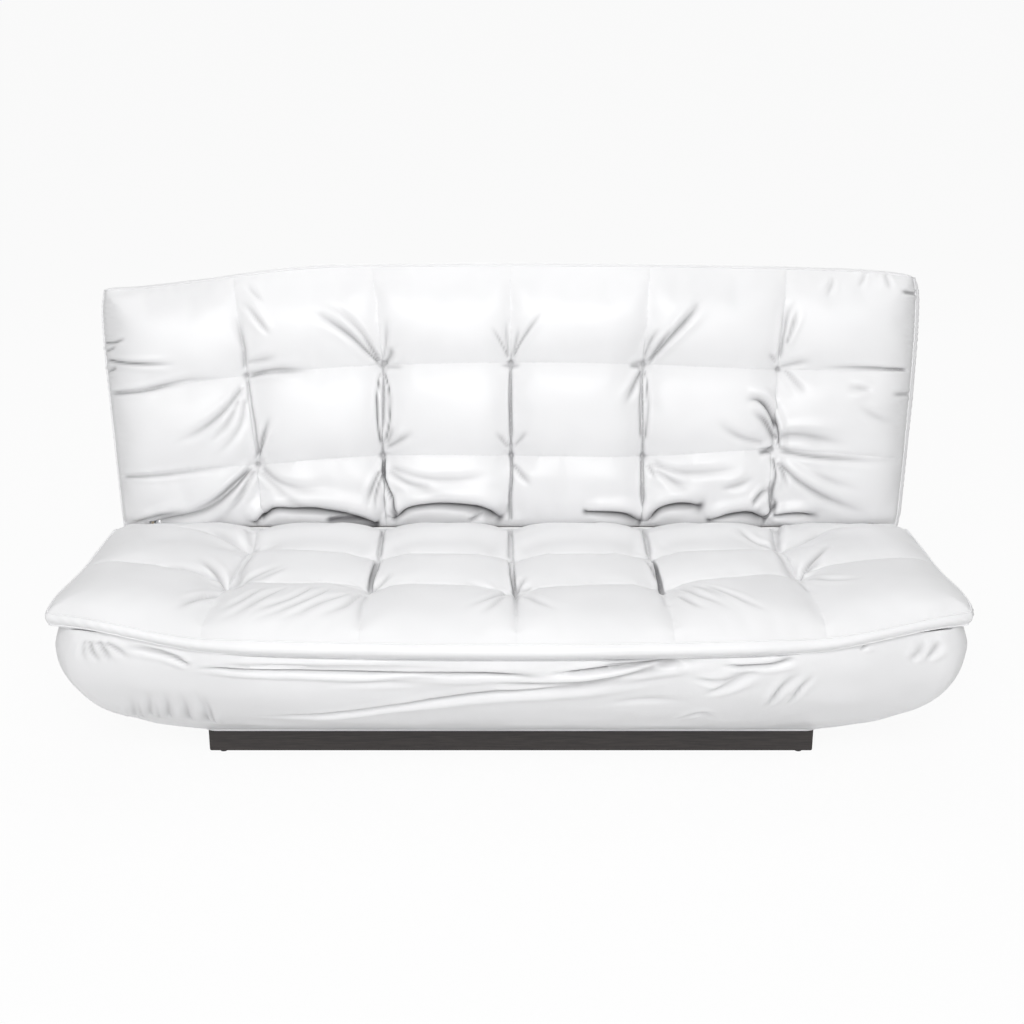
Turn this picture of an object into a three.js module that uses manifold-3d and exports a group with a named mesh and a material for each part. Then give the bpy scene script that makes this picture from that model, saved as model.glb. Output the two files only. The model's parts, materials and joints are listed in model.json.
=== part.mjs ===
// Click clack sofa bed with a storage chest, as a three.js scene graph.
// Millimetres, +Z up. The sitter faces -Y, so the seat's front edge is at -Y and the back leans to +Y.
// The seat and the back turn on one hinge line, and all places are measured from that line first.

import * as THREE from 'three';
import { mergeVertices } from 'three/addons/utils/BufferGeometryUtils.js';
import Module from 'manifold-3d';

// Clearances
const GAP = 0.3;
const SOFT_GAP = 3;
const OVERRUN = 6;

// Posture of the two units
const SEAT_TILT_DEG = 1.8;
const BACK_LEAN_DEG = 15.9;
const HINGE_HEIGHT = 365.2;

// Half the width over the seat's front corners: the other widths follow it by their insets
const PAD_HALF = 948;

// Pads: u runs along a pad away from the hinge line, v is the height over that line
const PAD_BUTT = 6;
const PAD_UNDERSIDE = -26;
const PAD_FACE = 20;
const PAD_NOSE_RADIUS = 40;
const PAD_CROWN = 24;
const PAD_CROWN_RUN = 130;
const PAD_SEAM_DROP = 4;
const PAD_BAND_BULGE = 9;
const PAD_EDGE_STEP = 26;
const PAD_EDGE_WIDE_STEP = 78;
const TUFT_DEPTH = 24;
const TUFT_REACH = 40;
const TUFT_STEP = 38;
const TUFT_WIDE_STEP = 87.4;
const TUFT_ROW_WIDE_STEP = 76;
const CHANNEL_DEPTH = 8;
const CHANNEL_REACH = 26;
const TUFT_COLUMNS_EACH_SIDE = 2;
const TUFT_SIDE_MARGIN = 340;
const TUFT_COLUMN_PITCH = (PAD_HALF - TUFT_SIDE_MARGIN) / TUFT_COLUMNS_EACH_SIDE;

// Seat pad
const SEAT_CORNER_LENGTH = 653;
const SEAT_BOW = 64;
const SEAT_FRONT_HALF = PAD_HALF;
const SEAT_FOLD_TAPER = 23;
const SEAT_FOLD_HALF = SEAT_FRONT_HALF - SEAT_FOLD_TAPER;
const SEAT_SIDE_BELLY = 10;
const SEAT_ROWS = [258, 462];
const SEAT_ROW_BENDS = [55, 68];
const SEAT_CORNER_RISE = 40;
const SEAT_RISE_WIDTH = 348;
const SEAT_RISE_LENGTH = 403;

// Back pad
const BACK_CORNER_LENGTH = 604;
const BACK_BOW = 20;
const BACK_TOP_OVERHANG = 2;
const BACK_TOP_HALF = PAD_HALF + BACK_TOP_OVERHANG;
const BACK_FOLD_TAPER = 25;
const BACK_FOLD_HALF = BACK_TOP_HALF - BACK_FOLD_TAPER;
const BACK_SIDE_BELLY = 4;
const BACK_ROWS = [180, 396];
const BACK_ROW_BENDS = [6, 20];
const BACK_CORNER_PULL = 30;
const CORNER_PULL_POWER = 12;

// Frames under the pads, of square steel tube
const TUBE = 30;
const TUBE_WALL = 1.5;
const TUBE_CORNER = 4;
const FRAME_SIDE_INSET = 112;
const FRAME_HALF = PAD_HALF - FRAME_SIDE_INSET;
const FRAME_START = 30;
const SEAT_FRAME_INSET = 51;
const SEAT_FRAME_LENGTH = SEAT_CORNER_LENGTH - SEAT_FRAME_INSET;
const BACK_FRAME_INSET = 29;
const BACK_FRAME_LENGTH = BACK_CORNER_LENGTH - BACK_FRAME_INSET;
const SLAT_COUNT = 9;
const SLAT_WIDTH = 70;
const SLAT_THICKNESS = 8;
const SLAT_SAG_ROOM = 0.6;
const SLAT_SEAT_DEPTH = 14;
const SOCKET_WALL = 4;
const SOCKET_REACH = 18;
const DUST_COVER_THICKNESS = 3;
const DUST_COVER_CORNER = 12;

// Toothed click clack mechanism
const PLATE = 4;
const HINGE_PIN = 12;
const HINGE_PIN_HEAD = 20;
const HINGE_PIN_HEAD_THICKNESS = 4;
const HINGE_PIN_TAIL = 16;
const HINGE_PIN_TAIL_THICKNESS = 3;
const ARM_EYE_RADIUS = 14;
const ARM_BAR_START = 62;
const ARM_BAR_END = 270;
const ARM_BAR_INSET = 3;
const SEAT_ARM_LEAD_DEG = 60;
const SECTOR_ROOT_RADIUS = 49;
const TOOTH_HEIGHT = 5;
const TOOTH_FLAT_SHARE = 0.16;
const TEETH_IN_TRAVEL = 12;
const SPARE_TEETH = 1;
const PAWL_PIN = 8;
const PAWL_PIN_HEAD = 13;
const PAWL_PIN_HEAD_THICKNESS = 2.5;
const PAWL_PIN_FORWARD = 48;
const PAWL_PIN_DROP = 65;
const PAWL_BOSS_RADIUS = 9;
const PAWL_LINK_HALF = 7.2;
const PAWL_SHOE_CLEARANCE = 1.5;
const PAWL_SHOE_THICKNESS = 10;
const PAWL_TOOTH_CLEARANCE = 0.6;
const PAWL_MEET_DEG = -80;
const PAWL_SHOE_LEAD_DEG = 7;
const PAWL_SHOE_TRAIL_DEG = 22;
const PAWL_RELEASE_DEG = 9;
const BRACKET_EYE_RADIUS = 16;
const BRACKET_FORWARD = 62;
const BRACKET_REARWARD = 42;
const BRACKET_FOOT_DROP = 165;
const BRACKET_SHOULDER_DROP = 48;
const BRACKET_CORNER = 10;
const BRACKET_SHOULDER_DEG = 20;

// Chest
const PLINTH_TOP = 58;
const BOARD = 16;
const CHEST_RIM_INSET = 43;
const CHEST_RIM_HALF = PAD_HALF - CHEST_RIM_INSET;
const CHEST_RIM_CLEARANCE = 4;
const CHEST_MITRE_GAP = 0.6;
const CHEST_RIM_FRONT = SEAT_FRAME_LENGTH + CHEST_RIM_CLEARANCE;
const CHEST_RIM_DROP = 45.2;
const CHEST_RIM_Z = HINGE_HEIGHT - CHEST_RIM_DROP;
const CHEST_END_LEAN_DEG = 40.906;
const CHEST_FRONT_LEAN_DEG = 36.235;
const frontLean = Math.tan(THREE.MathUtils.degToRad(CHEST_FRONT_LEAN_DEG));
const endLean = Math.tan(THREE.MathUtils.degToRad(CHEST_END_LEAN_DEG));
const CHEST_FOOT_HALF = CHEST_RIM_HALF - endLean * (CHEST_RIM_Z - PLINTH_TOP);
const CHEST_FOOT_FRONT = CHEST_RIM_FRONT - frontLean * (CHEST_RIM_Z - PLINTH_TOP);
const CHEST_REAR = 188;
const CHEST_REAR_DROP = 70.2;
const CHEST_REAR_Z = HINGE_HEIGHT - CHEST_REAR_DROP;
const FLOOR_THICKNESS = 12;
const BUMPER_RADIUS = 6;
const BUMPER_INSET = 136;
const BUMPER_SPREAD = FRAME_HALF - BUMPER_INSET;

// Plinth and glides
const PLINTH_SIDE_INSET = 6;
const PLINTH_HALF = CHEST_FOOT_HALF - PLINTH_SIDE_INSET;
const PLINTH_FRONT_OVERHANG = 5;
const PLINTH_FRONT = CHEST_FOOT_FRONT + PLINTH_FRONT_OVERHANG;
const PLINTH_REAR_INSET = 50;
const PLINTH_REAR = CHEST_REAR - PLINTH_REAR_INSET;
const PLINTH_BOARD = 18;
const PLINTH_EDGE = 4;
const GLIDE_RADIUS = 8;
const GLIDE_HEIGHT = 3;
const GLIDE_INSET = 30;

// Padded hull cover round the front and the two ends of the chest
const HULL_FOOT_RISE = 2;
const HULL_FOOT_Z = PLINTH_TOP + HULL_FOOT_RISE;
const HULL_FOOT_PADDING = 12;
const HULL_FOOT_HALF = CHEST_FOOT_HALF + HULL_FOOT_PADDING;
const HULL_FOOT_FRONT_PADDING = 14;
const HULL_FOOT_FRONT = CHEST_FOOT_FRONT + HULL_FOOT_FRONT_PADDING;
const HULL_BRIM_PADDING = 40;
const HULL_BRIM_HALF = CHEST_RIM_HALF + HULL_BRIM_PADDING;
const HULL_BRIM_BOW = 60;
const HULL_BRIM_FRONT_PADDING = 38;
const HULL_BRIM_FRONT = CHEST_RIM_FRONT + HULL_BRIM_FRONT_PADDING;
const HULL_FOOT_CORNER = 40;
const HULL_BRIM_CORNER = 90;
const HULL_REAR_TAPER = 22;
const HULL_REAR_LIP = 8;
const HULL_REAR_TOP = CHEST_RIM_Z + HULL_REAR_LIP;
const HULL_REAR_BLEND = 30;
const HULL_INNER_CORNER = 40;
const HULL_TOP_GAP = 5;
const HULL_LINING_GAP = 0.5;
const HULL_SIDE_SWELL_POWER = 2.8;
const HULL_FRONT_SWELL_POWER = 2.2;

// Steps in a full arc, on a rounded edge, round a pin, and along a slat's camber
const ARC_STEPS = 12;
const EDGE_STEPS = 3;
const PIN_STEPS = 20;
const CAMBER_STEPS = 12;

const wasm = await Module();
wasm.setup();

const rad = THREE.MathUtils.degToRad;
const lerp = THREE.MathUtils.lerp;
const ease = (value) => THREE.MathUtils.smoothstep(value, 0, 1);

const seatTilt = rad(SEAT_TILT_DEG);
const backRise = rad(90 - BACK_LEAN_DEG);
const reclineTravel = rad(90 - BACK_LEAN_DEG + SEAT_TILT_DEG);

// Finishes
function finish(color, roughness, metalness = 0) {
  return new THREE.MeshStandardMaterial({ color, roughness, metalness });
}

const leatherette = finish(0xe9e8e6, 0.38);
const plinthFoil = finish(0x3c3736, 0.6);
const chestBoard = finish(0xd8c7a6, 0.7);
const beech = finish(0xcda878, 0.55);
const coatedSteel = finish(0x2b2c2e, 0.45, 0.6);
const zincSteel = finish(0xa9adb2, 0.35, 1);
const rubber = finish(0x1c1c1c, 0.9);
const nylon = finish(0x26262a, 0.5);
const nonwoven = finish(0x38383a, 0.95);

// Solids and outlines
function toSolid(geometry) {
  const plain = geometry.clone();
  plain.deleteAttribute('normal');
  plain.deleteAttribute('uv');
  const merged = mergeVertices(plain);
  const vertProperties = Float32Array.from(merged.attributes.position.array);
  const triVerts = Uint32Array.from(merged.index.array);
  return new wasm.Manifold(new wasm.Mesh({ numProp: 3, vertProperties, triVerts }));
}

function toGeometry(solid) {
  const mesh = solid.getMesh();
  const geometry = new THREE.BufferGeometry();
  geometry.setAttribute('position', new THREE.BufferAttribute(Float32Array.from(mesh.vertProperties), 3));
  geometry.setIndex(new THREE.BufferAttribute(Uint32Array.from(mesh.triVerts), 1));
  geometry.computeVertexNormals();
  return geometry;
}

function cut(geometry, tools) {
  const solid = tools.reduce((rest, tool) => rest.subtract(toSolid(tool)), toSolid(geometry));
  return toGeometry(solid);
}

function join(geometries) {
  const solids = geometries.map(toSolid);
  return toGeometry(solids.reduce((whole, solid) => whole.add(solid)));
}

function shared(first, second) {
  return toGeometry(toSolid(first).intersect(toSolid(second)));
}

function outline(points, holes = []) {
  const shape = new THREE.Shape(points);
  shape.holes = holes;
  return shape;
}

function roundHole(y, z, radius) {
  return new THREE.Path().absarc(y, z, radius, 0, Math.PI * 2, true);
}

function extrude(shape, depth, curveSegments) {
  return new THREE.ExtrudeGeometry(shape, { depth, bevelEnabled: false, curveSegments });
}

// An outline in the Y-Z plane, extruded from xStart to xEnd
function alongX(shape, xStart, xEnd, curveSegments = ARC_STEPS) {
  const geometry = extrude(shape, xEnd - xStart, curveSegments);
  const basis = new THREE.Matrix4().makeBasis(
    new THREE.Vector3(0, 1, 0),
    new THREE.Vector3(0, 0, 1),
    new THREE.Vector3(1, 0, 0),
  );
  return geometry.applyMatrix4(basis).translate(xStart, 0, 0);
}

// An outline in the X-Z plane, extruded from yStart to yEnd
function alongY(shape, yStart, yEnd, curveSegments = EDGE_STEPS) {
  const geometry = extrude(shape, yEnd - yStart, curveSegments);
  const basis = new THREE.Matrix4().makeBasis(
    new THREE.Vector3(1, 0, 0),
    new THREE.Vector3(0, 0, 1),
    new THREE.Vector3(0, -1, 0),
  );
  return geometry.applyMatrix4(basis).translate(0, yEnd, 0);
}

// An outline in the X-Y plane, extruded from zStart to zEnd
function alongZ(shape, zStart, zEnd, curveSegments = ARC_STEPS) {
  return extrude(shape, zEnd - zStart, curveSegments).translate(0, 0, zStart);
}

function box(x0, x1, y0, y1, z0, z1) {
  const geometry = new THREE.BoxGeometry(x1 - x0, y1 - y0, z1 - z0);
  return geometry.translate((x0 + x1) / 2, (y0 + y1) / 2, (z0 + z1) / 2);
}

function roundedRectangle(x0, x1, y0, y1, radius) {
  const shape = new THREE.Shape();
  shape.absarc(x1 - radius, y0 + radius, radius, -Math.PI / 2, 0);
  shape.absarc(x1 - radius, y1 - radius, radius, 0, Math.PI / 2);
  shape.absarc(x0 + radius, y1 - radius, radius, Math.PI / 2, Math.PI);
  shape.absarc(x0 + radius, y0 + radius, radius, Math.PI, Math.PI * 1.5);
  return shape;
}

function disc(x0, x1, radius) {
  return alongX(new THREE.Shape().absarc(0, 0, radius, 0, Math.PI * 2), x0, x1, PIN_STEPS);
}

function node(name, geometry, material, y = 0, z = 0) {
  const mesh = new THREE.Mesh(geometry, material);
  mesh.name = name;
  mesh.position.set(0, y, z);
  return mesh;
}

function sideName(stem, side) {
  return `${stem}_${side < 0 ? 'left' : 'right'}`;
}

// Extents of the mirrored pair: the same stretch of |x| on the side asked for
function stretch(side, inner, outer) {
  return side < 0 ? [-outer, -inner] : [inner, outer];
}

// Pads
const tuftColumns = Array.from(
  { length: 2 * TUFT_COLUMNS_EACH_SIDE + 1 },
  (_, i) => (i - TUFT_COLUMNS_EACH_SIDE) * TUFT_COLUMN_PITCH,
);

// How far the turned-up front corners of the seat rise, at a place on its edge
function cornerRise(x, u) {
  const out = (Math.abs(x) - SEAT_FRONT_HALF + SEAT_RISE_WIDTH) / SEAT_RISE_WIDTH;
  const forward = (u - SEAT_CORNER_LENGTH + SEAT_RISE_LENGTH) / SEAT_RISE_LENGTH;
  return SEAT_CORNER_RISE * ease(out) * ease(forward);
}

// The underside keeps flat over the frame and turns up only beyond it
function undersideRise(x, u) {
  const frontRun = seatPad.length(x) - SEAT_FRAME_LENGTH;
  const beyondSide = (Math.abs(x) - FRAME_HALF) / (SEAT_FRONT_HALF - FRAME_HALF);
  const beyondFront = (u - SEAT_FRAME_LENGTH) / frontRun;
  const share = THREE.MathUtils.clamp(Math.max(beyondSide, beyondFront), 0, 1);
  return cornerRise(x, u) * share;
}

function parabola(x, half) {
  return Math.min((x / half) ** 2, 1);
}

const tuftSpan = TUFT_COLUMNS_EACH_SIDE * TUFT_COLUMN_PITCH;

const seatPad = {
  foldHalf: SEAT_FOLD_HALF,
  farHalf: SEAT_FRONT_HALF,
  belly: SEAT_SIDE_BELLY,
  frameLength: SEAT_FRAME_LENGTH,
  length: (x) => SEAT_CORNER_LENGTH + SEAT_BOW * (1 - parabola(x, SEAT_FRONT_HALF)),
  rows: (x) => SEAT_ROWS.map((row, i) => row - SEAT_ROW_BENDS[i] * parabola(x, tuftSpan)),
  rise: cornerRise,
  undersideRise,
  cornerPull: 0,
};

const backPad = {
  foldHalf: BACK_FOLD_HALF,
  farHalf: BACK_TOP_HALF,
  belly: BACK_SIDE_BELLY,
  frameLength: BACK_FRAME_LENGTH,
  length: (x) => BACK_CORNER_LENGTH + BACK_BOW * (1 - parabola(x, BACK_TOP_HALF)),
  rows: (x) => BACK_ROWS.map((row, i) => row - BACK_ROW_BENDS[i] * parabola(x, tuftSpan)),
  rise: () => 0,
  undersideRise: () => 0,
  cornerPull: BACK_CORNER_PULL,
};

// Grid lines across a pad: close together at each tuft, wider between
function gridColumns(half) {
  const steps = [-TUFT_WIDE_STEP, -TUFT_STEP, 0, TUFT_STEP, TUFT_WIDE_STEP];
  const near = tuftColumns.flatMap((column) => steps.map((step) => column + step));
  const between = tuftColumns.slice(1).map((column) => column - TUFT_COLUMN_PITCH / 2);
  const edge = [half, half - PAD_EDGE_STEP, half - PAD_EDGE_WIDE_STEP, (half + tuftSpan) / 2];
  const all = [...near, ...between, ...edge, ...edge.map((x) => -x)];
  return all.sort((a, b) => a - b).map((x) => x / half);
}

// Grid lines along a pad at one x: round the nose, close together at each tuft row, close at the far seam
function gridRows(pad, x) {
  const length = pad.length(x);
  const [near, far] = pad.rows(x);
  const noseShares = [0, 0.08, 0.34, 1];
  const nose = noseShares.map((share) => PAD_BUTT + share * PAD_NOSE_RADIUS);
  const noseEnd = PAD_BUTT + PAD_NOSE_RADIUS;
  const rowSteps = [-TUFT_ROW_WIDE_STEP, -TUFT_STEP, 0, TUFT_STEP, TUFT_ROW_WIDE_STEP];
  const around = (row) => rowSteps.map((step) => row + step);
  const rows = [
    ...nose,
    (noseEnd + near - TUFT_ROW_WIDE_STEP) / 2,
    ...around(near),
    (near + far) / 2,
    ...around(far),
    (far + TUFT_ROW_WIDE_STEP + length - PAD_EDGE_WIDE_STEP) / 2,
    length - PAD_EDGE_WIDE_STEP,
    length - PAD_EDGE_STEP,
    length,
  ];
  return rows;
}

// Height of a pad's face: nose at the hinge line, crown over the middle, sewn tufts and their channels
function faceHeight(pad, x, u, halfHere) {
  const noseCentre = PAD_BUTT + PAD_NOSE_RADIUS;
  const noseRun = Math.max(noseCentre - u, 0);
  const nose = Math.sqrt(PAD_NOSE_RADIUS ** 2 - noseRun ** 2) - PAD_NOSE_RADIUS;
  const length = pad.length(x);
  const fromFold = ease((u - noseCentre) / PAD_CROWN_RUN);
  const fromFar = ease((length - u) / PAD_CROWN_RUN);
  const fromSide = ease((halfHere - Math.abs(x)) / PAD_CROWN_RUN);
  const crown = PAD_CROWN * fromFold * fromFar * fromSide;
  const rows = pad.rows(x);
  const bell = (distance, reach) => Math.exp(-((distance / reach) ** 2));
  let sewn = 0;
  for (const column of tuftColumns) {
    sewn += CHANNEL_DEPTH * bell(x - column, CHANNEL_REACH) * fromFar * fromFold;
    for (const row of rows) {
      sewn += TUFT_DEPTH * bell(Math.hypot(x - column, u - row), TUFT_REACH);
    }
  }
  for (const row of rows) {
    sewn += CHANNEL_DEPTH * bell(u - row, CHANNEL_REACH) * fromSide;
  }
  const inFromEdge = Math.min(length - u, halfHere - Math.abs(x));
  const seamDrop = PAD_SEAM_DROP * (1 - ease(inFromEdge / PAD_EDGE_STEP));
  return PAD_FACE + nose + crown - sewn - seamDrop + pad.rise(x, u);
}

// Bands round a pad's edge, from its face seam down: share of the band's height, and share of its bulge
const bandShares = [[0.45, 1], [1, 0]];

function padGeometry(pad) {
  const columns = gridColumns(pad.farHalf);
  const rowCount = gridRows(pad, 0).length;
  const positions = [];
  const put = (x, u, v) => positions.push(x, u, v) / 3 - 1;

  const halfAt = (u, length) => {
    const share = u / length;
    return lerp(pad.foldHalf, pad.farHalf, share) + pad.belly * Math.sin(Math.PI * share);
  };

  const face = columns.map((columnShare) => {
    const xGuide = columnShare * pad.farHalf;
    return gridRows(pad, xGuide).map((u) => {
      const half = halfAt(u, pad.length(xGuide));
      const x = columnShare * half;
      const reach = u / pad.length(xGuide);
      const pull = pad.cornerPull * (Math.abs(columnShare) * reach) ** CORNER_PULL_POWER;
      const v = faceHeight(pad, x, u, half);
      return put(x - Math.sign(x) * pull, u - pull, v);
    });
  });

  const last = columns.length - 1;
  const far = rowCount - 1;
  const rim = [];
  for (let i = 0; i < last; i += 1) rim.push({ id: face[i][0], side: 0, along: -1 });
  for (let j = 0; j < far; j += 1) rim.push({ id: face[last][j], side: 1, along: 0 });
  for (let i = last; i > 0; i -= 1) rim.push({ id: face[i][far], side: 0, along: 1 });
  for (let j = far; j > 0; j -= 1) rim.push({ id: face[0][j], side: -1, along: 0 });

  const at = (id) => [positions[3 * id], positions[3 * id + 1], positions[3 * id + 2]];
  const bandHeight = PAD_FACE - PAD_UNDERSIDE;
  const rings = bandShares.map(([heightShare, bulgeShare]) => rim.map(({ id, side, along }) => {
    const [x, u, seam] = at(id);
    const foot = PAD_UNDERSIDE + pad.undersideRise(x, u);
    const bulge = PAD_BAND_BULGE * bulgeShare * Math.max(seam - foot, 0) / bandHeight;
    const forward = along > 0 ? bulge : 0;
    return put(x + side * bulge, u + forward, lerp(seam, foot, heightShare));
  }));
  const flatStart = PAD_BUTT + PAD_EDGE_STEP;
  const flat = rim.map(({ id }) => {
    const [x, u] = at(id);
    const length = pad.length(x);
    const half = halfAt(u, length);
    const reach = (u - PAD_BUTT) / (length - PAD_BUTT);
    const flatU = lerp(flatStart, pad.frameLength, Math.min(reach, 1));
    return put(x * FRAME_HALF / half, flatU, PAD_UNDERSIDE);
  });

  const triangles = [];
  const quad = (a, b, c, d) => triangles.push(a, b, c, a, c, d);
  for (let i = 0; i < last; i += 1) {
    for (let j = 0; j < far; j += 1) {
      quad(face[i][j], face[i + 1][j], face[i + 1][j + 1], face[i][j + 1]);
    }
  }
  const loops = [rim.map(({ id }) => id), ...rings, flat];
  for (let k = 0; k + 1 < loops.length; k += 1) {
    const upper = loops[k];
    const lower = loops[k + 1];
    upper.forEach((id, i) => {
      const next = (i + 1) % upper.length;
      quad(id, lower[i], lower[next], upper[next]);
    });
  }
  const foldSide = (i) => flat[i];
  const farSide = (i) => flat[last + far + (last - i)];
  for (let i = 1; i < last - 1; i += 1) quad(foldSide(i), farSide(i), farSide(i + 1), foldSide(i + 1));
  const rightEdge = Array.from({ length: far + 1 }, (_, j) => flat[last + j]);
  const leftEdge = Array.from({ length: far + 1 }, (_, j) => flat[(2 * (last + far) - j) % flat.length]);
  for (let j = 0; j < far; j += 1) {
    triangles.push(foldSide(last - 1), rightEdge[j + 1], rightEdge[j]);
    triangles.push(foldSide(1), leftEdge[j], leftEdge[j + 1]);
  }
  triangles.push(foldSide(last - 1), farSide(last - 1), rightEdge[far]);
  triangles.push(foldSide(1), leftEdge[far], farSide(1));

  const geometry = new THREE.BufferGeometry();
  geometry.setAttribute('position', new THREE.Float32BufferAttribute(positions, 3));
  geometry.setIndex(triangles);
  geometry.computeVertexNormals();
  return cut(geometry, [-1, 1].map((side) => mechanismPocket(side)));
}

// Room for the hinge plates at both ends of a pad, open to its butt and its underside
function mechanismPocket(side) {
  const [inner, outer] = stretch(side, mechanism.inner - SOFT_GAP, mechanism.outer + SOFT_GAP);
  const eye = disc(inner, outer, BRACKET_EYE_RADIUS + SOFT_GAP);
  const reach = ARM_BAR_START + ARM_EYE_RADIUS;
  const below = box(inner, outer, -OVERRUN, reach, PAD_UNDERSIDE - OVERRUN, OVERRUN);
  return join([eye, below]);
}

// Places of the hinge plates across the width, from the frames outwards
const seatArmInner = FRAME_HALF + GAP;
const seatArmOuter = seatArmInner + PLATE;
const backFrameHalf = seatArmOuter;
const backArmInner = backFrameHalf + GAP;
const backArmOuter = backArmInner + PLATE;
const bracketInner = backArmOuter + GAP;
const bracketOuter = bracketInner + PLATE;
const mechanism = {
  inner: seatArmInner - GAP - HINGE_PIN_TAIL_THICKNESS,
  outer: bracketOuter + GAP + HINGE_PIN_HEAD_THICKNESS,
};

// Frames: two side rails, two cross rails with the slats' sockets, sprung slats between them
const railTop = PAD_UNDERSIDE - GAP;
const railUnderside = railTop - TUBE;

function tubeSection(a0, b0) {
  const wall = TUBE_WALL;
  const section = roundedRectangle(a0, a0 + TUBE, b0, b0 + TUBE, TUBE_CORNER);
  const inner = outline([
    new THREE.Vector2(a0 + wall, b0 + wall),
    new THREE.Vector2(a0 + wall, b0 + TUBE - wall),
    new THREE.Vector2(a0 + TUBE - wall, b0 + TUBE - wall),
    new THREE.Vector2(a0 + TUBE - wall, b0 + wall),
  ]);
  section.holes = [inner];
  return section;
}

function sideRail(side, half, length) {
  const [inner] = stretch(side, half - TUBE, half);
  return alongY(tubeSection(inner, railUnderside), FRAME_START, length);
}

const slatPitch = 2 * (FRAME_HALF - TUBE) / SLAT_COUNT;
const slatPlaces = Array.from({ length: SLAT_COUNT }, (_, i) => (i - (SLAT_COUNT - 1) / 2) * slatPitch);
const slatUnderside = railUnderside + (TUBE - SLAT_THICKNESS) / 2;

// A cross rail from uStart to uStart + TUBE, its sockets facing the slats (facing is 1 or -1 along u)
function crossRail(half, uStart, facing) {
  const reach = half - TUBE - GAP;
  const tube = alongX(tubeSection(uStart, railUnderside), -reach, reach, EDGE_STEPS);
  const face = facing > 0 ? uStart + TUBE : uStart;
  const mouth = face + facing * SOCKET_REACH;
  const bite = face - facing * TUBE_WALL / 2;
  const halfWidth = SLAT_WIDTH / 2;
  const low = slatUnderside - GAP;
  const high = slatUnderside + SLAT_THICKNESS + GAP;
  const order = (a, b) => [Math.min(a, b), Math.max(a, b)];
  const sockets = slatPlaces.map((x) => {
    const outerHalf = halfWidth + GAP + SOCKET_WALL;
    const foot = low - SOCKET_WALL;
    const cup = box(x - outerHalf, x + outerHalf, ...order(bite, mouth), foot, high + SOCKET_WALL);
    const slotEnd = face + facing * (SOCKET_REACH - SLAT_SEAT_DEPTH - GAP);
    const slotMouth = mouth + facing * OVERRUN;
    const slot = box(x - halfWidth - GAP, x + halfWidth + GAP, ...order(slotEnd, slotMouth), low, high);
    return cut(cup, [slot]);
  });
  return join([tube, ...sockets]);
}

function slat(x, length) {
  const start = FRAME_START + TUBE + SOCKET_REACH - SLAT_SEAT_DEPTH;
  const end = length - TUBE - SOCKET_REACH + SLAT_SEAT_DEPTH;
  const sag = PAD_UNDERSIDE - SLAT_SAG_ROOM - SLAT_THICKNESS - slatUnderside;
  const straight = SLAT_SEAT_DEPTH / (end - start);
  const bow = (share) => {
    const inside = THREE.MathUtils.clamp((share - straight) / (1 - 2 * straight), 0, 1);
    return sag * Math.sin(Math.PI * inside) ** 2;
  };
  const line = Array.from({ length: CAMBER_STEPS + 1 }, (_, i) => {
    const share = i / CAMBER_STEPS;
    return new THREE.Vector2(lerp(start, end, share), slatUnderside + bow(share));
  });
  const top = line.map((point) => new THREE.Vector2(point.x, point.y + SLAT_THICKNESS)).reverse();
  return alongX(outline([...line, ...top]), x - SLAT_WIDTH / 2, x + SLAT_WIDTH / 2);
}

// The seat's own x runs against the world's, so turn is -1 there and names keep the world's left and right
function frameNodes(prefix, half, length, turn, nearName, farName) {
  return [
    ...[-1, 1].map((side) => node(
      sideName(`${prefix}_rail`, side * turn),
      sideRail(side, half, length),
      coatedSteel,
    )),
    node(`${prefix}_rail_${nearName}`, crossRail(half, FRAME_START, 1), coatedSteel),
    node(`${prefix}_rail_${farName}`, crossRail(half, length - TUBE, -1), coatedSteel),
    ...slatPlaces.map((x, i) => node(`${prefix}_slat_${i + 1}`, slat(x * turn, length), beech)),
  ];
}

// Hinge arms: an eye on the hinge pin and a bar on the side rail's outer face
function armOutline() {
  const high = railTop - ARM_BAR_INSET;
  const low = railUnderside + ARM_BAR_INSET;
  const shape = new THREE.Shape();
  const lead = rad(SEAT_ARM_LEAD_DEG);
  shape.absarc(0, 0, ARM_EYE_RADIUS, lead, lead + Math.PI);
  shape.lineTo(ARM_BAR_START - ARM_EYE_RADIUS, low);
  shape.lineTo(ARM_BAR_END, low);
  shape.lineTo(ARM_BAR_END, high);
  shape.lineTo(ARM_BAR_START, high);
  return shape;
}

function pinHole(diameter) {
  return roundHole(0, 0, diameter / 2 + GAP);
}

function seatArm(side) {
  const shape = armOutline();
  shape.holes = [pinHole(HINGE_PIN)];
  return alongX(shape, ...stretch(side, seatArmInner, seatArmOuter));
}

// The toothed sector lies on the back arm, centred on the hinge line. Its teeth are equal to whole
// steps of the travel, so a gap faces the pawl both in the upright and in the flat position.
const toothPitch = reclineTravel / TEETH_IN_TRAVEL;

function sectorOutline() {
  const first = rad(PAWL_MEET_DEG) - backRise - (0.5 + SPARE_TEETH) * toothPitch;
  const count = TEETH_IN_TRAVEL + 2 * SPARE_TEETH;
  const points = [];
  const polar = (radius, angle) => new THREE.Vector2(radius * Math.cos(angle), radius * Math.sin(angle));
  const tip = SECTOR_ROOT_RADIUS + TOOTH_HEIGHT;
  for (let i = 0; i <= count; i += 1) {
    const middle = first + i * toothPitch;
    const flat = TOOTH_FLAT_SHARE * toothPitch;
    points.push(polar(SECTOR_ROOT_RADIUS, middle - toothPitch / 2 + flat / 2));
    points.push(polar(tip, middle - flat / 2));
    points.push(polar(tip, middle + flat / 2));
    points.push(polar(SECTOR_ROOT_RADIUS, middle + toothPitch / 2 - flat / 2));
  }
  points.push(new THREE.Vector2(0, 0));
  return outline(points);
}

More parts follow.
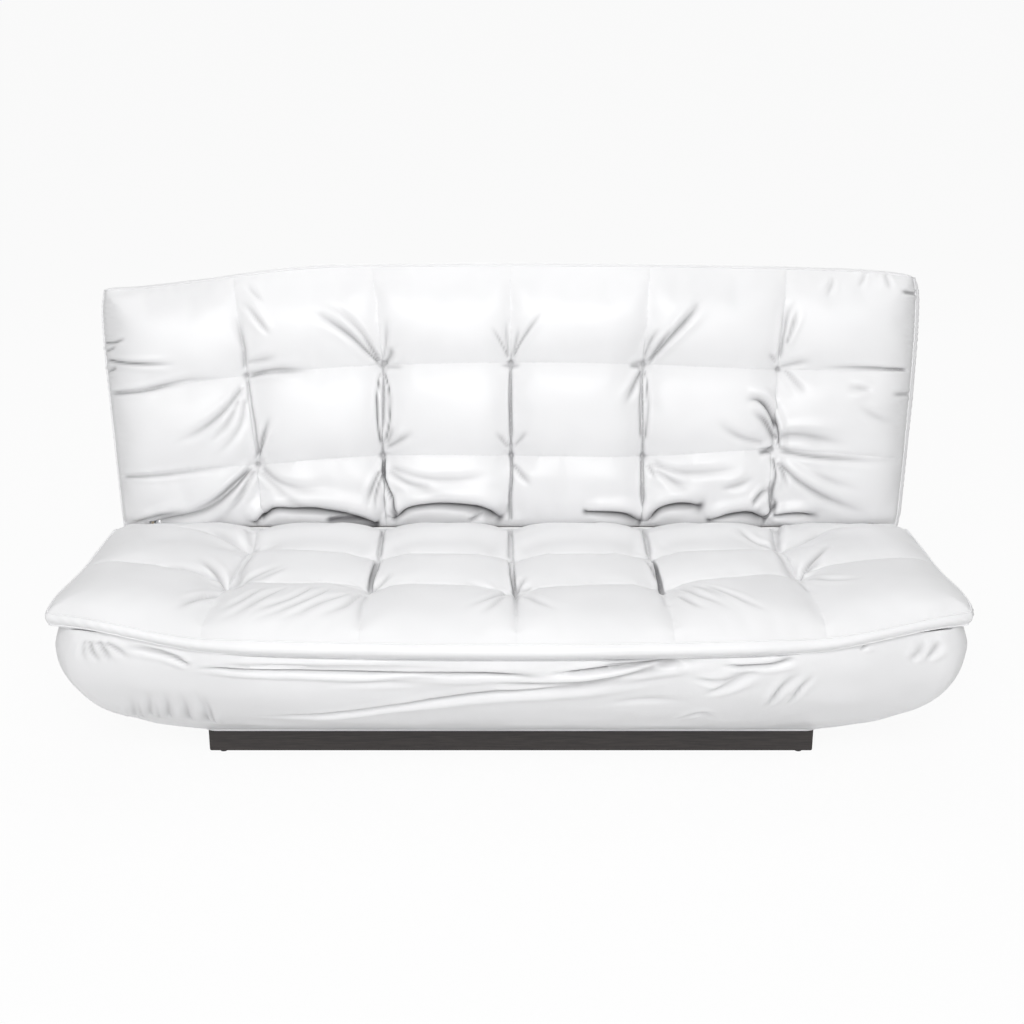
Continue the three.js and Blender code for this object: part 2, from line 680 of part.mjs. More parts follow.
function backArm(side) {
  const [inner, outer] = stretch(side, backArmInner, backArmOuter);
  const bar = alongX(armOutline(), inner, outer);
  const sector = alongX(sectorOutline(), inner, outer);
  const bore = disc(inner - OVERRUN, outer + OVERRUN, HINGE_PIN / 2 + GAP);
  return cut(join([bar, sector]), [bore]);
}

// The pawl lies under the sector, on its own pin in front. It is shaped in its engaged place and then
// turned down about its pin, because the released place is its rest.
function pawl(side) {
  const [inner, outer] = stretch(side, backArmInner, backArmOuter);
  const meet = rad(PAWL_MEET_DEG);
  const polar = (radius, angle) => new THREE.Vector2(radius * Math.cos(angle), radius * Math.sin(angle));
  const shoeTop = SECTOR_ROOT_RADIUS + TOOTH_HEIGHT + PAWL_SHOE_CLEARANCE;
  const shoeFoot = shoeTop + PAWL_SHOE_THICKNESS;
  const lead = meet + rad(PAWL_SHOE_LEAD_DEG);
  const trail = meet - rad(PAWL_SHOE_TRAIL_DEG);
  const arc = (radius, from, to) => Array.from(
    { length: EDGE_STEPS + 1 },
    (_, i) => polar(radius, lerp(from, to, i / EDGE_STEPS)),
  );
  const halfTooth = toothPitch / 2 - PAWL_TOOTH_CLEARANCE / SECTOR_ROOT_RADIUS;
  const shoe = outline([
    ...arc(shoeFoot, trail, lead),
    polar(shoeTop, lead),
    polar(shoeTop, meet + halfTooth),
    polar(SECTOR_ROOT_RADIUS + PAWL_TOOTH_CLEARANCE, meet),
    polar(shoeTop, meet - halfTooth),
    ...arc(shoeTop, meet - 2 * halfTooth, trail),
  ]);
  const link = outline([
    polar(shoeTop, trail + rad(PAWL_SHOE_LEAD_DEG)),
    polar(shoeFoot, trail + rad(PAWL_SHOE_LEAD_DEG)),
    new THREE.Vector2(-PAWL_PIN_FORWARD, -PAWL_PIN_DROP - PAWL_LINK_HALF),
    new THREE.Vector2(-PAWL_PIN_FORWARD, -PAWL_PIN_DROP + PAWL_LINK_HALF),
  ]);
  const boss = disc(inner, outer, PAWL_BOSS_RADIUS).translate(0, -PAWL_PIN_FORWARD, -PAWL_PIN_DROP);
  const bore = disc(inner - OVERRUN, outer + OVERRUN, PAWL_PIN / 2 + GAP);
  bore.translate(0, -PAWL_PIN_FORWARD, -PAWL_PIN_DROP);
  const body = join([alongX(shoe, inner, outer), alongX(link, inner, outer), boss]);
  const bored = cut(body, [bore]);
  bored.translate(0, PAWL_PIN_FORWARD, PAWL_PIN_DROP);
  return bored.rotateX(-rad(PAWL_RELEASE_DEG));
}

// Chest boards: straight boards leaning outwards, mitred where they meet
const frontThick = BOARD * Math.hypot(1, frontLean);
const endThick = BOARD * Math.hypot(1, endLean);
const boardFoot = PLINTH_TOP + GAP;
const endInnerAt = (z) => CHEST_FOOT_HALF - endThick + endLean * (z - PLINTH_TOP);
const endOuterAt = (z) => CHEST_FOOT_HALF + endLean * (z - PLINTH_TOP);
const frontInnerAt = (z) => CHEST_FOOT_FRONT - frontThick + frontLean * (z - PLINTH_TOP);
const frontOuterAt = (z) => CHEST_FOOT_FRONT + frontLean * (z - PLINTH_TOP);

// A board between two ends of four corners each, given in the same turn
function board(startCorners, endCorners) {
  const corners = [...startCorners, ...endCorners];
  const geometry = new THREE.BufferGeometry();
  geometry.setAttribute('position', new THREE.Float32BufferAttribute(corners.flat(), 3));
  const faces = [[0, 1, 2, 3], [7, 6, 5, 4], [0, 4, 5, 1], [1, 5, 6, 2], [2, 6, 7, 3], [3, 7, 4, 0]];
  geometry.setIndex(faces.flatMap(([a, b, c, d]) => [a, b, c, a, c, d]));
  geometry.computeVertexNormals();
  return geometry;
}

function mitre(side, shift) {
  return [
    [side * endOuterAt(boardFoot), -frontOuterAt(boardFoot) + shift, boardFoot],
    [side * endInnerAt(boardFoot), -frontInnerAt(boardFoot) + shift, boardFoot],
    [side * endInnerAt(CHEST_RIM_Z), -frontInnerAt(CHEST_RIM_Z) + shift, CHEST_RIM_Z],
    [side * endOuterAt(CHEST_RIM_Z), -frontOuterAt(CHEST_RIM_Z) + shift, CHEST_RIM_Z],
  ];
}

function chestFront() {
  return board(mitre(1, 0), mitre(-1, 0));
}

function chestEnd(side) {
  const rear = mitre(side, 0).map(([x, , z]) => [x, CHEST_REAR, z]);
  const front = mitre(side, CHEST_MITRE_GAP);
  return side > 0 ? board(rear, front) : board(front, rear);
}

function chestRear() {
  const low = endInnerAt(boardFoot) - GAP;
  const high = endInnerAt(CHEST_REAR_Z) - GAP;
  const shape = outline([
    new THREE.Vector2(-low, boardFoot),
    new THREE.Vector2(low, boardFoot),
    new THREE.Vector2(high, CHEST_REAR_Z),
    new THREE.Vector2(-high, CHEST_REAR_Z),
  ]);
  return alongY(shape, CHEST_REAR - BOARD, CHEST_REAR);
}

function chestFloor() {
  const half = endInnerAt(boardFoot) - GAP;
  const front = -frontInnerAt(boardFoot) + GAP;
  return box(-half, half, front, CHEST_REAR - BOARD - GAP, boardFoot, boardFoot + FLOOR_THICKNESS);
}

// The bent bracket: upright at the hinge, its foot lying on the inner face of the leaning end board
function bracket(side) {
  const footZ = HINGE_HEIGHT - BRACKET_FOOT_DROP;
  const across = Math.hypot(1, endLean);
  const slantOuter = (z) => endInnerAt(z) - GAP * across;
  const slantThick = PLATE * across;
  const slantZ = (x) => PLINTH_TOP + (x + GAP * across - CHEST_FOOT_HALF + endThick) / endLean;
  const bendZ = slantZ(bracketOuter);
  const bendInnerZ = slantZ(bracketInner + slantThick);
  const topZ = HINGE_HEIGHT + BRACKET_EYE_RADIUS + OVERRUN;
  const profile = [
    [bracketOuter, topZ],
    [bracketOuter, bendZ],
    [slantOuter(footZ), footZ],
    [slantOuter(footZ) - slantThick, footZ],
    [bracketInner, bendInnerZ],
    [bracketInner, topZ],
  ];
  const strip = alongY(
    outline(profile.map(([x, z]) => new THREE.Vector2(side * x, z - HINGE_HEIGHT))),
    -BRACKET_FORWARD,
    BRACKET_REARWARD,
  );
  const [inner, outer] = stretch(side, slantOuter(footZ) - slantThick - OVERRUN, bracketOuter + OVERRUN);
  const shoulder = -BRACKET_SHOULDER_DROP;
  const eye = rad(BRACKET_SHOULDER_DEG);
  const plate = new THREE.Shape();
  plate.absarc(0, 0, BRACKET_EYE_RADIUS, -eye, Math.PI + eye);
  plate.lineTo(-BRACKET_FORWARD, shoulder - BRACKET_CORNER);
  plate.lineTo(-BRACKET_FORWARD, footZ - HINGE_HEIGHT + BRACKET_CORNER);
  plate.lineTo(-BRACKET_FORWARD + BRACKET_CORNER, footZ - HINGE_HEIGHT);
  plate.lineTo(BRACKET_REARWARD - BRACKET_CORNER, footZ - HINGE_HEIGHT);
  plate.lineTo(BRACKET_REARWARD, footZ - HINGE_HEIGHT + BRACKET_CORNER);
  plate.lineTo(BRACKET_REARWARD, shoulder - BRACKET_CORNER);
  plate.holes = [
    pinHole(HINGE_PIN),
    roundHole(-PAWL_PIN_FORWARD, -PAWL_PIN_DROP, PAWL_PIN / 2 + GAP),
  ];
  return shared(strip, alongX(plate, inner, outer));
}

// A pin with a head outside and a riveted tail inside, its axis along X
function pin(side, from, to, diameter, head, headThickness, tail, tailThickness) {
  const profile = [
    [0, from - tailThickness],
    [tail / 2, from - tailThickness],
    [tail / 2, from],
    [diameter / 2, from],
    [diameter / 2, to],
    [head / 2, to],
    [head / 2, to + headThickness],
    [0, to + headThickness],
  ];
  const lathe = new THREE.LatheGeometry(profile.map(([r, x]) => new THREE.Vector2(r, x)), PIN_STEPS);
  return lathe.rotateZ(-side * Math.PI / 2);
}

function hingePin(side) {
  return pin(
    side,
    seatArmInner - GAP,
    bracketOuter + GAP,
    HINGE_PIN,
    HINGE_PIN_HEAD,
    HINGE_PIN_HEAD_THICKNESS,
    HINGE_PIN_TAIL,
    HINGE_PIN_TAIL_THICKNESS,
  );
}

function pawlPin(side) {
  return pin(
    side,
    backArmInner - GAP,
    bracketOuter + GAP,
    PAWL_PIN,
    PAWL_PIN_HEAD,
    PAWL_PIN_HEAD_THICKNESS,
    PAWL_PIN_HEAD,
    PAWL_PIN_HEAD_THICKNESS,
  );
}

// Plinth: four boards under the chest, the front one full width
function plinthFront() {
  const shape = roundedRectangle(-PLINTH_HALF, PLINTH_HALF, GLIDE_HEIGHT + GAP, PLINTH_TOP, PLINTH_EDGE);
  return alongY(shape, -PLINTH_FRONT, -PLINTH_FRONT + PLINTH_BOARD);
}

function plinthRear() {
  const shape = roundedRectangle(-PLINTH_HALF, PLINTH_HALF, GLIDE_HEIGHT + GAP, PLINTH_TOP, PLINTH_EDGE);
  return alongY(shape, PLINTH_REAR - PLINTH_BOARD, PLINTH_REAR);
}

function plinthEnd(side) {
  const [inner, outer] = stretch(side, PLINTH_HALF - PLINTH_BOARD, PLINTH_HALF);
  const front = -PLINTH_FRONT + PLINTH_BOARD + GAP;
  const rear = PLINTH_REAR - PLINTH_BOARD - GAP;
  return box(inner, outer, front, rear, GLIDE_HEIGHT + GAP, PLINTH_TOP);
}

function glide(side, y) {
  const x = side * (PLINTH_HALF - GLIDE_INSET);
  const shape = new THREE.Shape().absarc(x, y, GLIDE_RADIUS, 0, Math.PI * 2);
  return alongZ(shape, 0, GLIDE_HEIGHT);
}

// Rubber bumpers: the front pair carries the seat frame, the rear pair the back when it lies flat
const seatUnderAt = (y) => HINGE_HEIGHT - y * Math.tan(seatTilt) + railUnderside / Math.cos(seatTilt);
const coverUnderside = railUnderside - GAP - DUST_COVER_THICKNESS;
const flatBackUnderAt = (y) => HINGE_HEIGHT - y * Math.tan(seatTilt) + coverUnderside / Math.cos(seatTilt);

function bumper(x, y, z0, z1) {
  return alongZ(new THREE.Shape().absarc(x, y, BUMPER_RADIUS, 0, Math.PI * 2), z0, z1);
}

function frontBumper(side) {
  const y = -(frontInnerAt(CHEST_RIM_Z) + frontThick / 2);
  const top = seatUnderAt(y + BUMPER_RADIUS) - GAP;
  return bumper(side * BUMPER_SPREAD, y, CHEST_RIM_Z + GAP, top);
}

function rearBumper(side) {
  const y = CHEST_REAR - BOARD / 2;
  const top = flatBackUnderAt(y + BUMPER_RADIUS) - GAP;
  return bumper(side * BUMPER_SPREAD, y, CHEST_REAR_Z + GAP, top);
}

// Hull cover: a padded band from one rear end of the chest round its front to the other
const hullSideSwell = (share) => 1 - (1 - share) ** HULL_SIDE_SWELL_POWER;
const hullFrontSwell = (share) => 1 - (1 - share) ** HULL_FRONT_SWELL_POWER;
const hullSideSteps = 10;
const hullCornerSteps = 8;
const hullFrontSteps = 26;

// Plan outline of the band at one height, from the rear left end to the rear right one
function bandPath(half, rearHalf, front, bow, corner, squareCorner) {
  const points = [];
  const sideRun = (i) => i / hullSideSteps;
  const cornerY = -(front - corner);
  for (let i = 0; i < hullSideSteps; i += 1) {
    const share = sideRun(i);
    points.push([-lerp(rearHalf, half, share), lerp(CHEST_REAR, cornerY, share)]);
  }
  for (let i = 0; i <= hullCornerSteps; i += 1) {
    const share = i / hullCornerSteps;
    const angle = share * Math.PI / 2;
    const round = [-half + corner * (1 - Math.cos(angle)), cornerY - corner * Math.sin(angle)];
    const square = share < 0.5
      ? [-half, cornerY - corner * 2 * share]
      : [-half + corner * (2 * share - 1), cornerY - corner];
    points.push(squareCorner ? square : round);
  }
  const reach = half - corner;
  for (let i = 1; i <= hullFrontSteps / 2; i += 1) {
    const x = -reach * (1 - 2 * i / hullFrontSteps);
    points.push([x, -front - bow * (1 - (x / reach) ** 2)]);
  }
  const mirrored = points.slice(0, -1).reverse().map(([x, y]) => [-x, y]);
  return [...points, ...mirrored];
}

const hullLevelShares = [0, 0.06, 0.14, 0.25, 0.38, 0.53, 0.7, 0.86, 1];
const rimLevel = hullLevelShares.length - 2;

function hullCover() {
  const padUnderAt = (x, y) => {
    const u = -y;
    return HINGE_HEIGHT + u * Math.tan(seatTilt) + PAD_UNDERSIDE - HULL_TOP_GAP + undersideRise(x, u);
  };
  const behind = (y) => ease((y + HULL_REAR_BLEND) / HULL_REAR_BLEND);
  const topAt = (x, y) => lerp(padUnderAt(x, y), HULL_REAR_TOP, behind(y));
  const innerHalf = (z) => endOuterAt(z) + HULL_LINING_GAP * Math.hypot(1, endLean);
  const innerFront = (z) => frontOuterAt(z) + HULL_LINING_GAP * Math.hypot(1, frontLean);

  const outer = hullLevelShares.map((share) => {
    const half = lerp(HULL_FOOT_HALF, HULL_BRIM_HALF, hullSideSwell(share));
    const front = lerp(HULL_FOOT_FRONT, HULL_BRIM_FRONT, hullFrontSwell(share));
    const corner = lerp(HULL_FOOT_CORNER, HULL_BRIM_CORNER, share);
    return bandPath(half, half - HULL_REAR_TAPER * share, front, HULL_BRIM_BOW * share, corner, false);
  });
  const inner = hullLevelShares.map((share, k) => {
    const z = Math.min(lerp(HULL_FOOT_Z, CHEST_RIM_Z, k / rimLevel), CHEST_RIM_Z);
    const half = innerHalf(z);
    return bandPath(half, half, innerFront(z), 0, HULL_INNER_CORNER, true);
  });
  const top = hullLevelShares.length - 1;
  const loops = outer[0].map((_, i) => {
    const outside = hullLevelShares.map((share, k) => {
      const [x, y] = outer[k][i];
      return [x, y, lerp(HULL_FOOT_Z, topAt(...outer[top][i]), share)];
    });
    const inside = hullLevelShares.map((_share, k) => {
      const [x, y] = inner[k][i];
      const z = lerp(HULL_FOOT_Z, CHEST_RIM_Z, Math.min(k / rimLevel, 1));
      return [x, y, k === top ? topAt(x, y) : z];
    });
    return [...outside, ...inside.reverse()];
  });

  const ring = loops[0].length;
  const triangles = [];
  const quad = (a, b, c, d) => triangles.push(a, b, c, a, c, d);
  for (let i = 0; i + 1 < loops.length; i += 1) {
    for (let k = 0; k < ring; k += 1) {
      const next = (k + 1) % ring;
      quad(i * ring + k, (i + 1) * ring + k, (i + 1) * ring + next, i * ring + next);
    }
  }
  const end = (loops.length - 1) * ring;
  for (let k = 0; k + 1 < hullLevelShares.length; k += 1) {
    const across = ring - 1 - k;
    quad(k, k + 1, across - 1, across);
    quad(end + across, end + across - 1, end + k + 1, end + k);
  }
  const geometry = new THREE.BufferGeometry();
  geometry.setAttribute('position', new THREE.Float32BufferAttribute(loops.flat(2), 3));
  geometry.setIndex(triangles);
  geometry.computeVertexNormals();
  return geometry;
}

// The three groups that move against each other: base, seat and back
function both(stem, build, material, y = 0, z = 0) {
  return [-1, 1].map((side) => node(sideName(stem, side), build(side), material, y, z));
}

const base = new THREE.Group();
base.add(
  node('plinth_front', plinthFront(), plinthFoil),
  node('plinth_rear', plinthRear(), plinthFoil),
  ...both('plinth_end', plinthEnd, plinthFoil),
  ...both('glide_front', (side) => glide(side, -PLINTH_FRONT + PLINTH_BOARD / 2), nylon),
  ...both('glide_rear', (side) => glide(side, PLINTH_REAR - PLINTH_BOARD / 2), nylon),
  node('chest_floor', chestFloor(), chestBoard),
  node('chest_front', chestFront(), chestBoard),
  ...both('chest_end', chestEnd, chestBoard),
  node('chest_rear', chestRear(), chestBoard),
  node('hull_cover', hullCover(), leatherette),
  ...both('hinge_bracket', bracket, zincSteel, 0, HINGE_HEIGHT),
  ...both('hinge_pin', hingePin, zincSteel, 0, HINGE_HEIGHT),
  ...both('pawl_pin', pawlPin, zincSteel, -PAWL_PIN_FORWARD, HINGE_HEIGHT - PAWL_PIN_DROP),
  ...both('pawl', pawl, zincSteel, -PAWL_PIN_FORWARD, HINGE_HEIGHT - PAWL_PIN_DROP),
  ...both('seat_bumper', frontBumper, rubber),
  ...both('back_bumper', rearBumper, rubber),
);

// The seat looks forward from the hinge line, so it is turned half round and tipped up at its front
const seat = new THREE.Group();
seat.position.set(0, 0, HINGE_HEIGHT);
seat.rotation.set(-seatTilt, 0, Math.PI, 'XYZ');
seat.add(
  node('seat_pad', padGeometry(seatPad), leatherette),
  ...frameNodes('seat', FRAME_HALF, SEAT_FRAME_LENGTH, -1, 'rear', 'front'),
  ...[-1, 1].map((side) => node(sideName('seat_arm', -side), seatArm(side), zincSteel)),
);

function dustCover() {
  const half = backFrameHalf - GAP;
  const shape = roundedRectangle(-half, half, FRAME_START, BACK_FRAME_LENGTH, DUST_COVER_CORNER);
  return alongZ(shape, coverUnderside, coverUnderside + DUST_COVER_THICKNESS, EDGE_STEPS);
}

const back = new THREE.Group();
back.position.set(0, 0, HINGE_HEIGHT);
back.rotation.set(backRise, 0, 0);
back.add(
  node('back_pad', padGeometry(backPad), leatherette),
  ...frameNodes('back', backFrameHalf, BACK_FRAME_LENGTH, 1, 'bottom', 'top'),
  ...both('back_arm', backArm, zincSteel),
  node('back_dust_cover', dustCover(), nonwoven),
);

// The origin is on the floor, under the middle of the whole
const sofaBed = new THREE.Group();
sofaBed.add(base, seat, back);
sofaBed.updateMatrixWorld(true);
const extent = new THREE.Box3().setFromObject(sofaBed, true);
for (const unit of [base, seat, back]) unit.position.y -= (extent.min.y + extent.max.y) / 2;

export default sofaBed;
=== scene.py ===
import json
import logging
import math
from dataclasses import asdict, dataclass
from enum import Enum

import bmesh
import bpy
import numpy as np
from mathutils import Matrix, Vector


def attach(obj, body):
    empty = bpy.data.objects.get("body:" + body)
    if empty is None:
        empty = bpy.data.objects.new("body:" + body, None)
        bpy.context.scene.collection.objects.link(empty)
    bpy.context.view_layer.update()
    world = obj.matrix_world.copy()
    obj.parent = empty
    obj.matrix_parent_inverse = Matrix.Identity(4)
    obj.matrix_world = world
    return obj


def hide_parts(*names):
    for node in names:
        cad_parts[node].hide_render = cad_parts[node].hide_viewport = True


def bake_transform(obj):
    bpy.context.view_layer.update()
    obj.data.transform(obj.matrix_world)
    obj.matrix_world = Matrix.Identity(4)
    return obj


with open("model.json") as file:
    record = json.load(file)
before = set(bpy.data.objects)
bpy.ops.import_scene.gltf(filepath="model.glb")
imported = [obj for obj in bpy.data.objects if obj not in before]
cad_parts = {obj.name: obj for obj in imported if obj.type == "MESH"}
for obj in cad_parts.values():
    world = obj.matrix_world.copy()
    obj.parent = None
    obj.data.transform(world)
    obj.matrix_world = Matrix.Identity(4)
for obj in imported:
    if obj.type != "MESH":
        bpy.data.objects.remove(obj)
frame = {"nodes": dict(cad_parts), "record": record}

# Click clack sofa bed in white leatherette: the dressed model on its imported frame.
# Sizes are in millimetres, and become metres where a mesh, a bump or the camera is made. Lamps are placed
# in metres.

log = logging.getLogger("sofa_bed")
MM = 0.001
Array = np.ndarray
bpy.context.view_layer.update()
# The layer that holds the painted shade in the folds
PAINTED_SHADE_LAYER = "drawn_in"
# Added to a length that is divided by, and a pixel that no fold comes near
TINY = 1e-9
FAR_OFF = 1e4


class Body(str, Enum):
    """The bodies of the frame that a piece can ride on."""

    BASE = "base"
    SEAT = "seat"
    BACK = "back"
    PAWL_LEFT = "pawl_left"
    PAWL_RIGHT = "pawl_right"


class Seed(int, Enum):
    """Seeds of the gentle waves, one for each use."""

    BORDER_TIPS = 3
    FACE = 5
    BORDER = 9
    GATHERS = 11
    STRIP = 17
    EDGE = 21
    HULL_SLACK = 31
    HULL_CREEP = 37


# Numbers and curves


def ease(value: Array | float) -> Array | float:
    """Smooth step from 0 to 1, flat outside."""
    share = np.clip(value, 0.0, 1.0)
    return share * share * (3.0 - 2.0 * share)


def bell(distance: Array | float, reach: float) -> Array | float:
    """Rounded hump of height 1."""
    return np.exp(-((distance / reach) ** 2))


def cusp(distance: Array | float, reach: float) -> Array | float:
    """Hump of height 1 with a sharp ridge, as a stitched line draws a cover in."""
    return np.exp(-np.abs(distance) / reach)


def through(knots: tuple[float, ...] | Array, values: tuple[float, ...] | Array, at: Array) -> Array:
    """Smooth curve through given points.

    Args:
        knots: Rising places of the points.
        values: Value at each place.
        at: Where the curve is wanted.

    Returns:
        The curve's values, held level beyond both ends.
    """
    x, y = np.asarray(knots, float), np.asarray(values, float)
    slope = np.gradient(y, x)
    k = np.clip(np.searchsorted(x, at) - 1, 0, len(x) - 2)
    width = x[k + 1] - x[k]
    t = np.clip((at - x[k]) / width, 0.0, 1.0)
    t2, t3 = t * t, t * t * t
    return (
        (2 * t3 - 3 * t2 + 1) * y[k]
        + (t3 - 2 * t2 + t) * width * slope[k]
        + (3 * t2 - 2 * t3) * y[k + 1]
        + (t3 - t2) * width * slope[k + 1]
    )


def doubled(grid: Array, axis: int) -> Array:
    """Puts a smooth midpoint between each pair of neighbours.

    Args:
        grid: Lattice with its values last.
        axis: The axis to refine.

    Returns:
        The finer lattice, through the same points.
    """
    g = np.moveaxis(grid, axis, 0)
    held = np.concatenate([g[:1], g, g[-1:]])
    middle = (9 * held[1:-2] + 9 * held[2:-1] - held[:-3] - held[3:]) / 16
    out = np.empty((2 * len(g) - 1,) + g.shape[1:])
    out[0::2] = g
    out[1::2] = middle
    return np.moveaxis(out, 0, axis)


def blurred(grid: Array, passes: int) -> Array:
    """Averages a lattice with its neighbours along both axes.

    Args:
        grid: Lattice with its values last.
        passes: How many times.

    Returns:
        The smoother lattice.
    """
    for _ in range(passes):
        for axis in (0, 1):
            g = np.moveaxis(grid, axis, 0)
            held = np.concatenate([g[:1], g, g[-1:]])
            grid = np.moveaxis((held[:-2] + 2 * g + held[2:]) / 4, 0, axis)
    return grid


def resampled(grid: Array, places: Array, axis: int) -> Array:
    """Lattice read at new places along one axis.

    Args:
        grid: Lattice with its values last.
        places: Fractional line number wanted for each point.
        axis: The axis that the places count along.

    Returns:
        The lattice there, on a smooth curve through its points.
    """
    g, at = np.moveaxis(grid, axis, 0), np.moveaxis(places, axis, 0)
    k = np.clip(np.floor(at).astype(int), 0, len(g) - 2)
    t = (at - k)[..., None]
    line_at = np.arange(g.shape[1])[None, :]
    a, b, c, d = (g[np.clip(k + step, 0, len(g) - 1), line_at] for step in (-1, 0, 1, 2))
    curve = 2 * b + (c - a) * t + (2 * a - 5 * b + 4 * c - d) * t * t + (3 * b - a - 3 * c + d) * t**3
    return np.moveaxis(curve / 2, 0, axis)


def run_along(points: Array, axis: int) -> Array:
    """Distance of each lattice point from the first line.

    Args:
        points: Lattice of points.
        axis: The axis to measure along.

    Returns:
        The distance at each point.
    """
    steps = np.linalg.norm(np.diff(points, axis=axis), axis=-1)
    first = np.zeros_like(np.take(steps, [0], axis=axis))
    return np.concatenate([first, np.cumsum(steps, axis=axis)], axis=axis)


def lattice_quads(rows: int, columns: int) -> Array:
    """Faces of a lattice whose points are numbered row by row.

    Args:
        rows: Points along the first axis.
        columns: Points along the second axis.

    Returns:
        Four point numbers a row.
    """
    i, j = np.meshgrid(np.arange(rows - 1), np.arange(columns - 1), indexing="ij")
    first = (i * columns + j).ravel()
    return np.stack([first, first + columns, first + columns + 1, first + 1], axis=1)


def waves(x: Array, y: Array, length: float, seed: Seed, count: int = 7) -> Array:
    """Sum of gentle waves in seeded directions.

    Args:
        x: First place of each point.
        y: Second place of each point.
        length: Usual wave length.
        seed: Seed of the directions.
        count: How many waves.

    Returns:
        Height at each point, about -1 to 1.
    """
    rng = np.random.default_rng(seed.value)
    total = np.zeros_like(x)
    for _ in range(count):
        turn = rng.uniform(0, 2 * math.pi)
        own = length * rng.uniform(0.7, 1.5)
        phase = rng.uniform(0, 2 * math.pi)
        total += np.sin(2 * math.pi * (x * math.cos(turn) + y * math.sin(turn)) / own + phase)
    return total / count


# Meshes


def make_mesh(name: str, points: Array, faces: list, flat_deg: float = 180.0) -> bpy.types.Object:
    """Writes a mesh object.

    Args:
        name: Name of the piece.
        points: Points in millimetres, one a row.
        faces: Faces as lists of point numbers.
        flat_deg: Edges that turn by more than this stay sharp.

    Returns:
        The linked object, its faces turned outwards.
    """
    mesh = bpy.data.meshes.new(name)
    mesh.from_pydata((np.asarray(points, float) * MM).tolist(), [], [list(f) for f in faces])
    mesh.validate()
    work = bmesh.new()
    work.from_mesh(mesh)
    bmesh.ops.recalc_face_normals(work, faces=work.faces)
    work.to_mesh(mesh)
    work.free()
    mesh.shade_smooth()
    if flat_deg < 180.0:
        mesh.set_sharp_from_angle(angle=math.radians(flat_deg))
    piece = bpy.data.objects.new(name, mesh)
    bpy.context.scene.collection.objects.link(piece)
    return piece


def tube(path: Array, radius: float, sides: int = 8) -> tuple[Array, list]:
    """Round cord along a path.

    Args:
        path: Points of its middle line.
        radius: Radius of the cord.
        sides: Sides round it.

    Returns:
        Its points and faces, capped at both ends.
    """
    path = np.asarray(path, float)
    ahead = np.roll(path, -1, 0) - np.roll(path, 1, 0)
    ahead[0], ahead[-1] = path[1] - path[0], path[-1] - path[-2]
    ahead /= np.linalg.norm(ahead, axis=1)[:, None] + TINY
    side = np.empty_like(ahead)
    guess = np.array([0.0, 0.0, 1.0]) if abs(ahead[0, 2]) < 0.9 else np.array([1.0, 0.0, 0.0])
    for k, direction in enumerate(ahead):
        guess = guess - direction * guess.dot(direction)
        guess /= np.linalg.norm(guess) + TINY
        side[k] = guess
    up = np.cross(ahead, side)
    turn = np.linspace(0, 2 * math.pi, sides, endpoint=False)
    ring = side[:, None] * np.cos(turn)[None, :, None] + up[:, None] * np.sin(turn)[None, :, None]
    points = (path[:, None] + radius * ring).reshape(-1, 3)
    return points, rings_closed(len(path), sides)


def rings_closed(rings: int, sides: int) -> list:
    """Faces between rings of points, and over the first and the last ring.

    Args:
        rings: How many rings.
        sides: Points of each ring.

    Returns:
        The faces as lists of point numbers.
    """
    faces = []
    for ring in range(rings - 1):
        here, there = ring * sides, (ring + 1) * sides
        for s in range(sides):
            t = (s + 1) % sides
            faces.append([here + s, here + t, there + t, there + s])
    faces.append(list(range(sides))[::-1])
    faces.append([(rings - 1) * sides + s for s in range(sides)])
    return faces


def merged(parts: list[tuple[Array, list]]) -> tuple[Array, list]:
    """Joins several shapes in one list.

    Args:
        parts: Points and faces of each shape.

    Returns:
        Points and faces of them all.
    """
    points, faces, start = [], [], 0
    for own, own_faces in parts:
        points.append(own)
        faces += [[start + k for k in face] for face in own_faces]
        start += len(own)
    return np.concatenate(points), faces


def fitted(piece: bpy.types.Object, finish: "Finish", body: Body) -> bpy.types.Object:
    """Finishes a piece and lets it ride on its body.

    Args:
        piece: The piece.
        finish: Its surface.
        body: The body it moves with.

    Returns:
        The piece.
    """
    piece.data.materials.append(finish.material())
    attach(piece, body.value)
    return piece


def shade_folds(piece: bpy.types.Object, shade: Array) -> None:
    """Writes the painted shade in the folds as a layer of the piece's points.

    Args:
        piece: The piece.
        shade: Painted shade from 0 to 1 of its first points. The others get none.
    """
    values = np.zeros(len(piece.data.vertices))
    values[: shade.size] = shade.ravel()
    piece.data.attributes.new(PAINTED_SHADE_LAYER, "FLOAT", "POINT").data.foreach_set("value", values)


# Finishes


def linear(hex_colour: str) -> tuple[float, float, float, float]:
    """Turns an sRGB hex colour to linear RGBA."""
    channels = [int(hex_colour[k : k + 2], 16) / 255 for k in (0, 2, 4)]
    return (*[c / 12.92 if c <= 0.04045 else ((c + 0.055) / 1.055) ** 2.4 for c in channels], 1.0)


def add_node(tree: bpy.types.NodeTree, kind: str, settings: dict | None = None, **sockets) -> bpy.types.Node:
    """Adds a node with its settings, values and links.

    Args:
        tree: The node tree.
        kind: Blender's name of the node, without its ShaderNode prefix.
        settings: Properties of the node itself.
        **sockets: Input name, spaces as underscores, or InputN for a numbered one, to a value or an output.

    Returns:
        The new node.
    """
    made = tree.nodes.new("ShaderNode" + kind)
    for key, value in (settings or {}).items():
        setattr(made, key, value)
    for key, value in sockets.items():
        name = key.replace("_", " ")
        socket = made.inputs[int(name[5:])] if name.startswith("Input") else made.inputs[name]
        if isinstance(value, bpy.types.NodeSocket):
            tree.links.new(value, socket)
        else:
            socket.default_value = value
    return made


